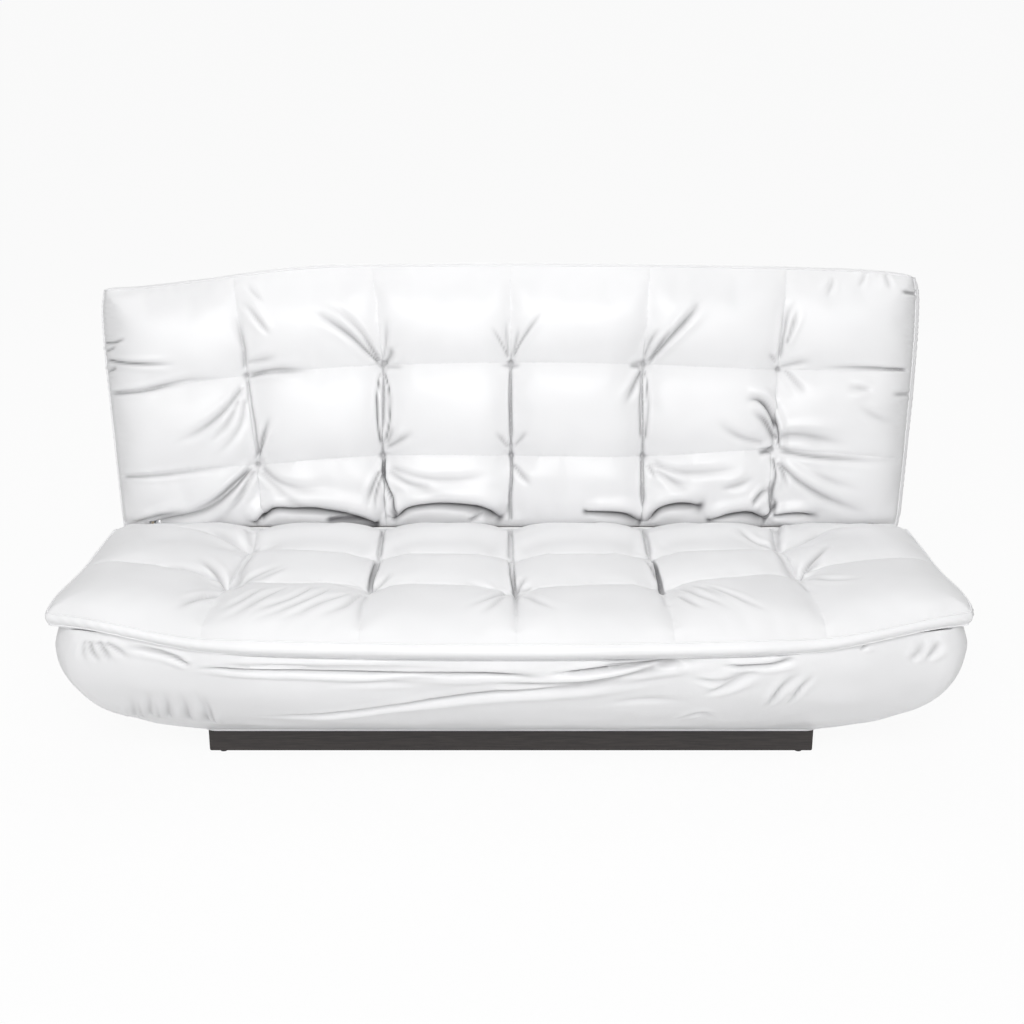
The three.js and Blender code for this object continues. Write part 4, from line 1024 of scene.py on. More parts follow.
SEAT_FOLDS = [
    # the slopes down to the first row
    Fold((140, 545, 175, 538, 210, 540, 245, 552), 5, 44, **SLOPE | {"start": 0.3}),
    Fold((258, 550, 285, 541, 320, 539, 350, 541, 374, 552), 7, 42, **SLOPE),
    Fold((387, 552, 410, 542, 440, 540, 475, 541, 505, 553), 7, 42, **SLOPE),
    Fold((515, 553, 545, 542, 580, 539, 615, 541, 645, 551), 7, 42, **SLOPE),
    Fold((655, 551, 680, 541, 710, 539, 745, 541, 772, 549), 7, 42, **SLOPE),
    Fold((784, 549, 815, 537, 850, 535, 885, 541), 6, 44, **SLOPE | {"end": 0.3}),
    # first column
    Fold((249, 530, 251, 542, 252, 553), 6, 14, end=0.1),
    Fold((251, 553, 232, 540, 208, 528), 7, 14, end=0.4),
    Fold((250, 556, 240, 570, 231, 590), 7, 14, end=0.1, sharp=0.2),
    Fold((228, 590, 216, 572, 196, 555), 9, 9),
    Fold((226, 588, 205, 575, 170, 567, 130, 565), 4, 9, end=0.7),
    Fold((226, 591, 192, 599, 172, 602), 6, 9),
    Fold((212, 594, 190, 601, 174, 612), 5, 8, start=0.3),
    Fold((231, 589, 262, 573, 292, 563), 5, 10),
    # ripples between the first two tufts of the front row
    Fold((363, 594, 344, 605, 315, 620), 5, 9, start=0.1),
    Fold((355, 594, 325, 600, 292, 615, 270, 623), 5, 9, start=0.15),
    Fold((335, 587, 310, 597, 280, 610, 243, 626), 5, 9, start=0.2),
    Fold((317, 585, 292, 597, 258, 610, 240, 625), 4.5, 9, start=0.25),
    Fold((292, 586, 267, 595, 237, 612, 212, 626), 4.5, 9, start=0.3),
    Fold((262, 587, 237, 602, 214, 616), 4, 9, start=0.2),
    Fold((292, 565, 262, 578, 236, 588), 3.5, 8, start=0.4),
    # second column
    Fold((383, 527, 381, 545, 379, 559), 5, 5, end=0.1),
    Fold((377, 561, 372, 575, 369, 592), 7, 4.5, end=0.1),
    Fold((381, 561, 376, 572, 371, 585), 7, 5, end=0.4),
    Fold((367, 595, 360, 612, 358, 634), 4, 7),
    Fold((373, 591, 384, 580, 392, 570), 5, 8),
    Fold((366, 592, 350, 587, 333, 585), 4, 9),
    # middle column
    Fold((510, 527, 510, 545, 510, 560), 5, 5, end=0.1),
    Fold((510, 561, 512, 576, 515, 596), 7, 4.5, end=0.1),
    Fold((512, 594, 500, 592, 480, 586, 460, 582), 4.5, 8),
    Fold((510, 595, 492, 597, 460, 611), 4.5, 8),
    Fold((505, 597, 491, 606, 477, 617), 4, 8),
    Fold((516, 597, 516, 620, 517, 643), 6, 7, end=0.8),
    Fold((517, 593, 521, 583, 525, 574), 6, 7),
    Fold((520, 591, 533, 587), 5, 7),
    Fold((522, 596, 540, 602, 560, 612), 4.5, 9),
    # fourth column
    Fold((641, 529, 647, 545, 649, 557), 5, 6, end=0.1),
    Fold((650, 559, 657, 572, 660, 585, 662, 595), 9, 4.5, end=0.1),
    Fold((648, 562, 654, 575, 656, 585), 6, 5, end=0.4),
    Fold((663, 596, 668, 610), 3.5, 7),
    Fold((675, 595, 690, 601, 707, 611), 5, 7, start=0.3),
    Fold((674, 587, 700, 595, 718, 602, 736, 613), 5, 7, start=0.3),
    Fold((700, 585, 726, 592, 750, 602, 773, 614), 4.5, 7, start=0.3),
    Fold((690, 584, 700, 586, 730, 600), 3.5, 8, start=0.3),
    # fifth column
    Fold((771, 548, 752, 537, 735, 526), 6, 8),
    Fold((778, 553, 788, 566, 797, 580), 7, 13, end=0.1, sharp=0.2),
    Fold((798, 580, 812, 560, 833, 542), 10, 9, skew=0.4),
    Fold((800, 577, 815, 567, 826, 557), 5, 8),
    Fold((803, 580, 832, 579, 872, 577), 4.5, 9),
    Fold((800, 583, 812, 594), 4, 8),
    Fold((780, 552, 800, 541, 830, 528), 7, 14, end=0.4),
    Fold((776, 528, 777, 540, 778, 552), 8, 11, end=0.1),
]

HULL_FOLDS = [
    # the long fold under the seat's lip
    Fold((192, 668, 242, 671, 305, 672, 405, 674, 500, 676, 560, 677), 17, 7, skew=0.4, lean=0.9,
         start=0.15, end=0.3, shade=1.2),
    Fold((205, 664, 300, 666, 400, 667, 500, 668), 6, 5, start=0.2),
    Fold((191, 667, 170, 657, 142, 650, 116, 645), 9, 6, start=0.1),
    Fold((187, 660, 160, 651, 130, 645), 5, 5, start=0.2),
    # pleats below the left tip
    Fold((90, 641, 92, 651, 102, 663), 8, 6),
    Fold((97, 641, 105, 651, 111, 664), 8, 6),
    Fold((105, 642, 119, 651, 131, 661), 7, 6),
    Fold((84, 641, 84, 652, 88, 662), 5, 6),
    # upright pleats at the left end of the plinth
    Fold((136, 718, 133, 705, 131, 690), 8, 9, **PLEAT),
    Fold((152, 716, 149, 700, 147, 684), 8, 9, **PLEAT),
    Fold((143, 717, 140, 706, 138, 697), 5, 6, end=0.7),
    Fold((170, 718, 167, 702, 164, 684), 9, 9, **PLEAT),
    Fold((192, 721, 184, 702, 178, 684), 9, 9, **PLEAT),
    Fold((212, 723, 201, 702, 191, 684), 10, 9, **PLEAT),
    Fold((216, 722, 208, 706, 202, 692), 7, 6, end=0.7),
    Fold((160, 718, 158, 708, 156, 698), 5, 6, end=0.7),
    # long sweeping folds across the front
    Fold((250, 717, 300, 716, 355, 712, 430, 702, 510, 693, 590, 686, 650, 679, 686, 673), 12, 10, skew=0.5,
         lean=0.4, start=0.25, end=0.25),
    Fold((317, 686, 380, 681, 455, 678, 520, 682), 6, 10, start=0.4),
    Fold((470, 682, 510, 684, 560, 684, 610, 679, 675, 664, 712, 657), 11, 8, skew=0.3, start=0.3, end=0.2),
    Fold((540, 676, 570, 673, 612, 669, 655, 664, 690, 659), 13, 7, skew=0.4, lean=0.5, start=0.3, end=0.2),
    Fold((600, 666, 640, 663, 690, 656), 8, 6, start=0.2, end=0.2),
    Fold((722, 666, 750, 667, 775, 665, 798, 657), 9, 6, start=0.2, end=0.2),
    Fold((700, 696, 725, 686, 750, 674, 765, 667), 9, 9, skew=0.4, start=0.4),
    Fold((690, 678, 715, 682, 735, 678, 752, 671), 6, 8, start=0.3),
    # diagonal pulls on the right
    Fold((763, 709, 782, 688, 803, 669), 8, 7, start=0.4),
    Fold((786, 706, 800, 690, 816, 671), 7, 6, start=0.4),
    Fold((676, 720, 700, 713, 718, 720), 6, 9, start=0.3),
    Fold((909, 663, 921, 650, 925, 637), 6, 7, start=0.3),
    Fold((925, 661, 935, 650, 943, 639), 8, 7, start=0.3),
    Fold((862, 650, 868, 643), 7, 5),
    Fold((600, 704, 660, 700, 700, 702), 4, 11, start=0.4),
]


# Sewn pads


class Side(int, Enum):
    """Sides of a pad, in the order in which its edge is walked."""

    BUTT = 0
    RIGHT = 1
    FAR = 2
    LEFT = 3


CLOTH_FRAMES = 20
# A stitch's points along the seam, and off the cover
STITCH_RUN = np.array([-2.6, -1.2, 0.0, 1.2, 2.6])
STITCH_RISE = np.array([-0.6, 0.1, 0.3, 0.1, -0.6])


@dataclass(frozen=True)
class Column:
    """A sewn line along a pad: its places, and how deep each stretch between them is drawn."""

    across: tuple[float, ...]
    along: tuple[float, ...]
    depths: tuple[float, ...]

    def middle(self, along: Array) -> Array:
        """Place across of the line."""
        return through(self.along, self.across, along)

    def depth_at(self, along: Array) -> Array:
        """Depth that the line is drawn."""
        return through(self.along, self.depths, along)


@dataclass(frozen=True)
class Row:
    """A sewn line across a pad, and how deep it is drawn."""

    across: tuple[float, ...]
    along: tuple[float, ...]
    depth: float

    def middle(self, across: Array) -> Array:
        """Place along of the line."""
        return through(self.across, self.along, across)


@dataclass(frozen=True)
class Filling:
    """Polyester filling under a stretched cover, in the words of Blender's cloth settings."""

    quality: int = 5
    mass: float = 0.25
    tension_stiffness: float = 18
    compression_stiffness: float = 12
    shear_stiffness: float = 6
    bending_stiffness: float = 0.35
    vertex_group_mass: str = "sewn"
    use_pressure: bool = True
    uniform_pressure_force: float = 4.0
    shrink_min: float = -0.02


@dataclass(frozen=True)
class Pocket:
    """Room for a hinge plate in the end of a pad's butt: a slot with a round end on the hinge line."""

    inner: float = 829.7
    outer: float = 856.5
    end: float = 76.0
    low: float = -32.0
    high: float = 6.0
    radius: float = 19.0
    steps: int = 12

    def profile(self) -> Array:
        """Draws the slot from the side.

        Returns:
            Its outline, along and off the frame.
        """
        turn = np.linspace(0.33, math.pi, self.steps)
        round_end = self.radius * np.stack([np.cos(turn), np.sin(turn)], axis=1)
        square = [(-self.radius, self.low), (self.end, self.low), (self.end, self.high), (18.0, self.high)]
        return np.concatenate([square, round_end])


@dataclass(frozen=True)
class Sewing:
    """How seams and tufts draw the face down, hold it for the filling, and how much painted shade lies in
    them.
    """

    tuft: float = 23.0
    tuft_core: float = 10.0
    tuft_well: float = 18.0
    tuft_slope: float = 48.0
    tuft_share: float = 0.25
    tuft_hold: float = 10.0
    tuft_pinch: float = 5.0
    tuft_shade: float = 0.5
    pleats: int = 9
    pleat_depth: float = 1.4
    pleat_at: float = 17.0
    pleat_reach: float = 12.0
    well: float = 11.0
    well_share: float = 0.35
    slope: float = 32.0
    slope_least: float = 1.5
    slope_share: float = 0.7
    seam_hold: float = 8.0
    hold_least: float = 0.35
    hold_most: float = 0.8
    hold_depth: float = 20.0
    most_sewn: float = 44.0
    seam_reach: float = 2.1
    seam_pinch: float = 1.2
    seam_shade: float = 0.85
    shade_depth: float = 9.0
    shade_reach: float = 1.9
    draw_in: float = 0.62
    draw_reach: float = 18.0
    swell_cap: float = 24.0
    crossing_steps: int = 6
    stitch_radius: float = 0.4
    stitch_every: int = 4
    stitch_margin: int = 8


@dataclass(frozen=True)
class Form:
    """How the face swells between its edges, and how near them it is sewn, pinched and creased."""

    puff_at: float = 62.0
    puff_reach: float = 48.0
    puff_across: float = 105.0
    puff_from_butt: float = 30.0
    puff_inside: float = 40.0
    crown_reach: float = 110.0
    plump_reach: float = 95.0
    plump_power: float = 2.4
    before_face: float = 20.0
    sewn_from: float = 34.0
    sewn_over: float = 40.0
    sewn_inside: float = 14.0
    quick_swell: float = 12.0
    swell_inside: float = 50.0
    calm: float = 60.0
    wave_length: float = 210.0
    wave_height: float = 2.0
    pinch_from_butt: float = 30.0
    pinch_inside: float = 10.0
    crease_from_butt: float = 10.0
    most_sunk: float = 24.0
    nose_floor: float = -14.0
    thinnest: float = 7.0
    butt_share: float = 0.6
    most_slid: float = 40.0


@dataclass(frozen=True)
class Edging:
    """How the border bulges and gathers between the face and its foot, and its piping."""

    rings: int = 9
    under_rings: tuple[float, float, float] = (0.12, 0.5, 1.0)
    turn_points: int = 7
    power: float = 0.75
    wave: float = 130.0
    drift: float = 60.0
    uneven: float = 0.15
    full_height: float = 46.0
    fullness: tuple[float, float] = (0.3, 1.3)
    tuck_from: float = 18.0
    tuck_over: float = 30.0
    tuck_share: float = 0.35
    inset: float = 26.0
    least_gathered: float = 0.35
    tip_reach: float = 210.0
    gather_pitch: float = 27.0
    gather_lean: float = 1.1
    gather_wave: float = 90.0
    gather_wander: float = 1.5
    piping_radius: float = 1.9
    piping_out: float = 0.6
    foot_piping_out: float = 0.4


@dataclass(frozen=True)
class Corners:
    """Where the corners rise, thin out, draw in, hang and flare."""

    rise_width: float = 348.0
    rise_length: float = 403.0
    taper_from: tuple[float, float] = (470.0, 300.0)
    taper_over: tuple[float, float] = (380.0, 250.0)
    pull_along: float = 0.8
    corner_power: int = 12
    most_reach: float = 1.02
    droop_from: float = 400.0
    droop_over: float = 480.0
    out_from: float = 700.0
    out_over: float = 250.0


@dataclass
class Pad:
    """A boxed, tufted pad: face, border and underside in one closed skin.

    Its own axes are x, then u away from the hinge line, then v off the frame under it.
    """

    name: str
    node: str
    body: Body
    # slope of the frame, and which side of it the face is on
    rise_deg: float
    face_turn: int
    # outline of the face: length at its corners, bow of its far edge, half widths
    corner: float
    bow: float
    fold_half: float
    far_half: float
    belly: float
    frame_length: float
    # sewing and folds
    columns: tuple[Column, ...]
    rows: tuple[Row, ...]
    folds: list[Fold]
    step: float = 8.4
    # numbers that both pads share
    sewing: Sewing = Sewing()
    form: Form = Form()
    edging: Edging = Edging()
    corners: Corners = Corners()
    # section: the rounded nose at the butt, the face, and the underside on the frame
    butt: float = 6.0
    nose: float = 40.0
    nose_puff: float = 0.0
    face: float = 20.0
    underside: float = -26.0
    crown: float = 21.0
    # how the face rolls over to its border
    roll: float = 4.0
    roll_width: float = 40.0
    roll_power: float = 2.0
    far_roll: float = 4.0
    far_roll_width: float = 40.0
    far_roll_power: float = 2.2
    # border, which bulges and tucks in at its foot
    border_bulge: float = 12.0
    far_bulge: float = 1.0
    left_bulge: float = 1.0
    tuck: float = 12.0
    tip_gather: float = 0.0
    # corners: turned up, thinned, drawn in, hanging or flared
    corner_rise: float = 0.0
    taper: float = 0.0
    corner_pull: float = 0.0
    right_pull: float = 0.0
    droop: float = 0.0
    left_flare: float = 0.0
    left_out: float = 0.0
    # share of its solid that it fills, and the part of its section that stays in the fold
    fill: float = 0.7
    stays: tuple[tuple[float, float], tuple[float, float]] | None = None

    def length(self, x: Array) -> Array:
        """Length of the face at a place across."""
        return self.corner + self.bow * (1 - np.minimum((x / self.far_half) ** 2, 1))

    def half_width(self, u: Array, length: Array) -> Array:
        """Half the face's width at a place along.

        Args:
            u: Places along.
            length: Length of the face there.

        Returns:
            Half the width.
        """
        share = u / length
        straight = self.fold_half + (self.far_half - self.fold_half) * share
        return straight + self.belly * np.sin(math.pi * share)

    def lift(self, x: Array, u: Array) -> Array:
        """Rise of the turned-up front corners.

        Args:
            x: Places across.
            u: Places along.

        Returns:
            The rise.
        """
        corners = self.corners
        out = ease((np.abs(x) - self.far_half + corners.rise_width) / corners.rise_width)
        forward = ease((u - self.corner + corners.rise_length) / corners.rise_length)
        return self.corner_rise * out * forward

    def thin_tip(self, x: Array, u: Array) -> Array:
        """How much thinner the pad is towards its front tips, taken off its underside."""
        (from_x, from_u), (over_x, over_u) = self.corners.taper_from, self.corners.taper_over
        return self.taper * ease((np.abs(x) - from_x) / over_x) * ease((u - from_u) / over_u)

    def to_world(self, x: Array, u: Array, v: Array) -> Array:
        """Turns the pad's own axes to the room's.

        Args:
            x: Places across.
            u: Places along.
            v: Places off the frame.

        Returns:
            Points of the room.
        """
        along = math.radians(self.rise_deg)
        off = along + self.face_turn * math.pi / 2
        y = HINGE_Y + u * math.cos(along) + v * math.cos(off)
        z = HINGE_Z + u * math.sin(along) + v * math.sin(off)
        return np.stack([x, y, z], axis=-1)

    def flat_lattice(self) -> tuple[Array, Array, Array, Array]:
        """Lays the face out before it is sewn.

        Returns:
            x, u, the nose's height, and half the width at each point.
        """
        count = 2 * round(self.far_half / self.step) + 1
        nose_run = self.nose * math.pi / 2
        nose_count = round(nose_run / self.step)
        rest_count = round((self.corner + self.bow - self.butt - self.nose) / self.step)
        share = np.linspace(-1, 1, count)[:, None]
        length = self.length(share * self.far_half)
        turn = np.linspace(0, math.pi / 2, nose_count, endpoint=False)
        start = self.butt + self.nose
        run = np.linspace(0, 1, rest_count)
        nose_u = np.broadcast_to(start - self.nose * np.cos(turn), (count, nose_count))
        u = np.concatenate([nose_u, start + run * (length - start)], axis=1)
        drop = np.concatenate([self.nose * (np.sin(turn) - 1), np.zeros(rest_count)])
        half = self.half_width(u, length)
        return share * half, u, np.broadcast_to(drop, u.shape), half

    def drawn_down(self, x: Array, u: Array) -> tuple[Array, Array]:
        """How far the stitching draws the filling down.

        Args:
            x: Places across.
            u: Places along.

        Returns:
            The depth, and how firmly each point is held, from 0 to 1.
        """
        sewing = self.sewing
        total = np.zeros_like(x)
        held = np.zeros_like(x)
        for away, deep in self.from_seams(x, u):
            total += sewing.well_share * deep * bell(away, sewing.well)
            total += (sewing.slope_least + sewing.slope_share * deep) * bell(away, sewing.slope)
            firm = np.minimum(sewing.hold_least + deep / sewing.hold_depth, sewing.hold_most)
            held = np.maximum(held, firm * bell(away, sewing.seam_hold))
        for r, turn in self.from_tufts(x, u):
            gathers = np.cos(sewing.pleats * turn + r[0, 0]) * bell(r - sewing.pleat_at, sewing.pleat_reach)
            total += (1 - sewing.tuft_share) * sewing.tuft * bell(r, sewing.tuft_slope)
            total += sewing.tuft_share * sewing.tuft * bell(r, sewing.tuft_well)
            total += sewing.pleat_depth * gathers
            held = np.maximum(held, bell(r, sewing.tuft_hold))
        return sewing.most_sewn * (1 - np.exp(-total / sewing.most_sewn)), held

    def pinched(self, x: Array, u: Array) -> tuple[Array, Array]:
        """How sharply the thread itself pinches the cover.

        Args:
            x: Places across.
            u: Places along.

        Returns:
            The depth, and the painted shade in the pinch, from 0 to 1.
        """
        sewing = self.sewing
        total = np.zeros_like(x)
        shade = np.zeros_like(x)
        for away, deep in self.from_seams(x, u):
            total += sewing.seam_pinch * deep * cusp(away, sewing.seam_reach)
            dark = sewing.seam_shade * np.minimum((deep / sewing.shade_depth) ** 2, 1.0)
            shade = np.maximum(shade, dark * bell(away, sewing.shade_reach))
        for r, _turn in self.from_tufts(x, u):
            total += sewing.tuft_core * cusp(r, sewing.tuft_pinch)
            shade = np.maximum(shade, sewing.tuft_shade * bell(r, sewing.tuft_pinch))
        return total, shade

    def from_seams(self, x: Array, u: Array) -> list[tuple[Array, Array]]:
        """Distance from each sewn line, and the depth that it is drawn there."""
        columns = [(np.abs(x - column.middle(u)), column.depth_at(u)) for column in self.columns]
        return columns + [(np.abs(u - row.middle(x)), np.full_like(x, row.depth)) for row in self.rows]

    def from_tufts(self, x: Array, u: Array) -> list[tuple[Array, Array]]:
        """Distance from each tuft, and the direction from it."""
        tufts = [self.crossing(column, row) for column in self.columns for row in self.rows]
        return [(np.hypot(x - x0, u - u0), np.arctan2(u - u0, x - x0)) for x0, u0 in tufts]

    def gathered(self, lattice: Array) -> Array:
        """Draws the lattice's lines closer together along the sewn lines.

        Args:
            lattice: Points in the pad's own axes, then their places across and along before sewing.

        Returns:
            The same surface on the new lines.
        """
        for axis in (0, 1):
            own, other = lattice[..., 3 + axis], lattice[..., 4 - axis]
            wanted = own.copy()
            for seam in (self.columns, self.rows)[axis]:
                away = own - seam.middle(other)
                wanted -= self.sewing.draw_in * away * bell(away, self.sewing.draw_reach)
            lines, targets = np.moveaxis(own, axis, 0), np.moveaxis(wanted, axis, 0)
            count = np.arange(len(lines))
            places = [np.interp(targets[:, k], lines[:, k], count) for k in range(lines.shape[1])]
            lattice = resampled(lattice, np.moveaxis(np.stack(places, 1), 0, axis), axis)
        return lattice

    def crossing(self, column: Column, row: Row) -> tuple[float, float]:
        """Finds where a column meets a row.

        Args:
            column: The column.
            row: The row.

        Returns:
            Its x and u.
        """
        u = float(np.mean(row.along))
        x = 0.0
        for _ in range(self.sewing.crossing_steps):
            x = float(column.middle(np.array([u]))[0])
            u = float(row.middle(np.array([x]))[0])
        return x, u

    def settle(self, x: Array, u: Array, v: Array, held: Array) -> Array:
        """Fills the sewn face with Blender's cloth and air pressure.

        Args:
            x: Places across.
            u: Places along.
            v: Sewn height.
            held: How firmly each point is held.

        Returns:
            How far each point moves, in the pad's own axes.
        """
        rest = np.stack([x, u, v], axis=-1)
        shape = x.shape
        trial = make_mesh("trial", rest.reshape(-1, 3), lattice_quads(*shape).tolist())
        if trial.data.polygons[len(trial.data.polygons) // 2].normal.z < 0:
            trial.data.flip_normals()
        group = trial.vertex_groups.new(name="sewn")
        firm = np.round(held.ravel() * 10) / 10
        for weight in np.unique(firm[firm > 0]):
            group.add(np.flatnonzero(firm == weight).tolist(), float(weight), "REPLACE")
        cloth = trial.modifiers.new("filling", "CLOTH")
        for setting, value in asdict(Filling()).items():
            setattr(cloth.settings, setting, value)
        cloth.settings.effector_weights.gravity = 0.0
        cloth.collision_settings.use_collision = False
        scene = bpy.context.scene
        for step in range(CLOTH_FRAMES):
            scene.frame_set(step + 1)
        settled = trial.evaluated_get(bpy.context.evaluated_depsgraph_get())
        flat = np.empty(len(settled.data.vertices) * 3)
        settled.data.vertices.foreach_get("co", flat)
        scene.frame_set(1)
        mesh = trial.data
        bpy.data.objects.remove(trial)
        bpy.data.meshes.remove(mesh)
        moved = flat.reshape(shape + (3,)) / MM - rest
        size = np.linalg.norm(moved, axis=-1, keepdims=True) + TINY
        return moved * (self.sewing.swell_cap * np.tanh(size / self.sewing.swell_cap) / size)

    def form_face(self) -> tuple[Array, Array, Array, Array]:
        """Shapes the face in the pad's own axes.

        Returns:
            x, u and v of the face lattice, and its places across and along before sewing.
        """
        form, corners = self.form, self.corners
        x, u, drop, half = self.flat_lattice()
        start = self.butt + self.nose
        length = self.length(x * self.far_half / half)
        to_side, to_far = half - np.abs(x), length - u
        inside = np.minimum(to_side, to_far)
        plump = 1 - (1 - np.clip(inside / form.plump_reach, 0, 1)) ** form.plump_power
        crown = self.crown * plump * ease((u - start + form.before_face) / form.crown_reach)
        depth, held = self.drawn_down(x, u)
        fade = ease((u - start + form.sewn_from) / form.sewn_over) * ease(inside / form.sewn_inside)
        side_reach = 1 - np.clip(to_side / self.roll_width, 0, 1)
        far_reach = 1 - np.clip(to_far / self.far_roll_width, 0, 1)
        edge = np.maximum(self.roll * (1 - np.sqrt(1 - side_reach**self.roll_power)),
                          self.far_roll * far_reach**self.far_roll_power)
        nearest = np.min([away for away, _deep in self.from_seams(x, u)[: len(self.columns)]], axis=0)
        puff = self.nose_puff * ease(nearest / form.puff_across) * bell(u - form.puff_at, form.puff_reach)
        puff = puff * ease(u / form.puff_from_butt) * ease(inside / form.puff_inside)
        height = self.face + drop + crown + puff - depth * fade - edge + self.lift(x, u)
        rim = (inside < 1.0) | (u < start - form.before_face)
        held = np.where(rim, 1.0, held)
        slow = waves(x, u, form.wave_length, Seed.FACE) * form.wave_height
        slow = slow * ease(inside / form.calm) * ease((u - start) / form.calm)
        moved = np.zeros(x.shape + (3,))
        moved = self.settle(x, u, height, held)
        moved += (blurred(moved, 3) - moved) * (1 - held)[..., None]
        local = np.stack([x + moved[..., 0], u + moved[..., 1], height + slow + moved[..., 2], x, u], axis=-1)
        local = self.gathered(doubled(doubled(local, 0), 1))
        x, u, v = local[..., 0], local[..., 1], local[..., 2]
        reach = np.clip(u / self.length(x), 0, corners.most_reach)
        most = np.where(x > 0, self.corner_pull + self.right_pull, self.corner_pull)
        pull = most * (np.abs(x) / self.far_half * reach) ** corners.corner_power
        hang = self.droop * ease((-x - corners.droop_from) / corners.droop_over) * reach**3
        flare = self.left_flare * ease(-x / self.far_half) * reach**2
        flare = flare + self.left_out * ease((-x - corners.out_from) / corners.out_over)
        return x - np.sign(x) * pull - flare, u - corners.pull_along * pull - hang, v, local[..., 3:]

    def rim(self, count: int, rows: int) -> Array:
        """Numbers of the face's edge points in order: butt, right side, far edge, left side."""
        grid = np.arange(count * rows).reshape(count, rows)
        return np.concatenate([grid[:-1, 0], grid[-1, :-1], grid[:0:-1, -1], grid[0, :0:-1]])

    def border(self, x: Array, u: Array, v: Array, count: int, rows: int) -> tuple[list[Array], Array]:
        """Rings of the border and the underside, in the pad's own axes.

        Args:
            x: Edge points across.
            u: Edge points along.
            v: Edge points' height.
            count: Face points across.
            rows: Face points along.

        Returns:
            The rings, and each edge point's outward direction.
        """
        edging = self.edging
        kind = np.repeat(list(Side), [count - 1, rows - 1, count - 1, rows - 1])
        out = np.zeros((len(x), 2))
        out[kind == Side.RIGHT], out[kind == Side.LEFT], out[kind == Side.FAR] = (1, 0), (-1, 0), (0, 1)
        turn = edging.turn_points
        soft = np.ones(2 * turn + 1) / (2 * turn + 1)
        for k in (0, 1):
            wide = np.concatenate([out[-turn:, k], out[:, k], out[:turn, k]])
            out[:, k] = np.convolve(wide, soft, "valid")
        out[kind == Side.BUTT] = 0
        length = self.length(x)
        beyond_side = (np.abs(x) - FRAME_HALF) / (self.far_half - FRAME_HALF)
        beyond_far = (u - self.frame_length) / (length - self.frame_length)
        rise = self.lift(x, u) * np.clip(np.maximum(beyond_side, beyond_far), 0, 1)
        foot = self.underside + rise + self.thin_tip(x, u)
        run = np.concatenate([[0], np.cumsum(np.hypot(np.diff(x), np.diff(u)))])
        tips = np.zeros(len(x))
        for side in (-1, 1):
            from_tip = np.hypot(x - side * self.far_half, u - self.corner)
            tips = np.maximum(tips, bell(from_tip, edging.tip_reach))
        rings = []
        for k in range(1, edging.rings + 1):
            share = k / edging.rings
            full = np.sin(math.pi * share) ** edging.power if share < 1 else 0.0
            full = full * np.clip((v - foot) / edging.full_height, *edging.fullness)
            ripple = 2 * math.pi * (run / edging.gather_pitch + edging.gather_lean * share)
            wander = edging.gather_wander * waves(x, u, edging.gather_wave, Seed.BORDER_TIPS)
            gather = np.sin(ripple + wander) * tips
            slow = waves(run, edging.drift * share + 0 * run, edging.wave, Seed.BORDER)
            most = self.border_bulge * (1 + edging.uneven * slow)
            most = most * np.where(kind == Side.FAR, self.far_bulge, 1.0)
            most = np.where(kind == Side.LEFT, self.left_bulge * most, most)
            tuck = self.tuck * ease((v - foot - edging.tuck_from) / edging.tuck_over)
            tuck = tuck * ease((share - edging.tuck_share) / (1 - edging.tuck_share))
            bulge = (most + self.tip_gather * gather) * full - tuck
            rings.append(np.stack([x + out[:, 0] * bulge, u + out[:, 1] * bulge, v + (foot - v) * share], -1))
        half = self.half_width(u, length)
        reach = np.clip((u - self.butt) / (length - self.butt), 0, 1)
        near = self.butt + edging.inset
        flat_u = near + (self.frame_length - near) * reach
        flat = np.stack([x * FRAME_HALF / half, flat_u, np.full(len(x), self.underside)], -1)
        foot_ring = rings[-1]
        for share in edging.under_rings:
            rings.append(foot_ring + (flat - foot_ring) * share)
        return rings, out

    def closed(self, x: Array, u: Array, v: Array) -> tuple[Array, list, dict[str, Array]]:
        """Closes the pad round its face.

        Args:
            x: Places across.
            u: Places along.
            v: Places off the frame.

        Returns:
            Points and faces of the whole pad in its own axes, and the lines that its piping follows.
        """
        edging = self.edging
        count, rows = x.shape
        points = [np.stack([x, u, v], -1).reshape(-1, 3)]
        order = self.rim(count, rows)
        edge = points[0][order]
        rings, out = self.border(edge[:, 0], edge[:, 1], edge[:, 2], count, rows)
        faces = lattice_quads(count, rows).tolist()
        loops = [order]
        start = len(points[0])
        for ring in rings:
            points.append(ring)
            loops.append(start + np.arange(len(ring)))
            start += len(ring)
        size = len(order)
        for upper, lower in zip(loops, loops[1:]):
            nxt = np.roll(upper, -1), np.roll(lower, -1)
            faces += np.stack([upper, lower, nxt[1], nxt[0]], axis=1).tolist()
        flat = loops[-1]
        last, far = count - 1, rows - 1
        for i in range(1, last - 1):
            faces.append([flat[i], flat[last + far + last - i], flat[last + far + last - i - 1], flat[i + 1]])
        right = [flat[last + j] for j in range(far + 1)]
        left = [flat[(2 * (last + far) - j) % size] for j in range(far + 1)]
        faces.append([flat[last - 1], *right, flat[last + far + 1]])
        faces.append([flat[1], flat[last + far + last - 1], *left[::-1]])
        open_edge = np.arange(last, size)
        seam = np.concatenate([edge[open_edge], edge[:1]])
        away = np.concatenate([out[open_edge], out[:1]])
        seam[:, :2] += away * edging.piping_out
        foot = np.concatenate([rings[edging.rings - 1][open_edge], rings[edging.rings - 1][:1]])
        foot[:, :2] += away * edging.foot_piping_out
        return np.concatenate(points), faces, {"seam": seam, "foot": foot}

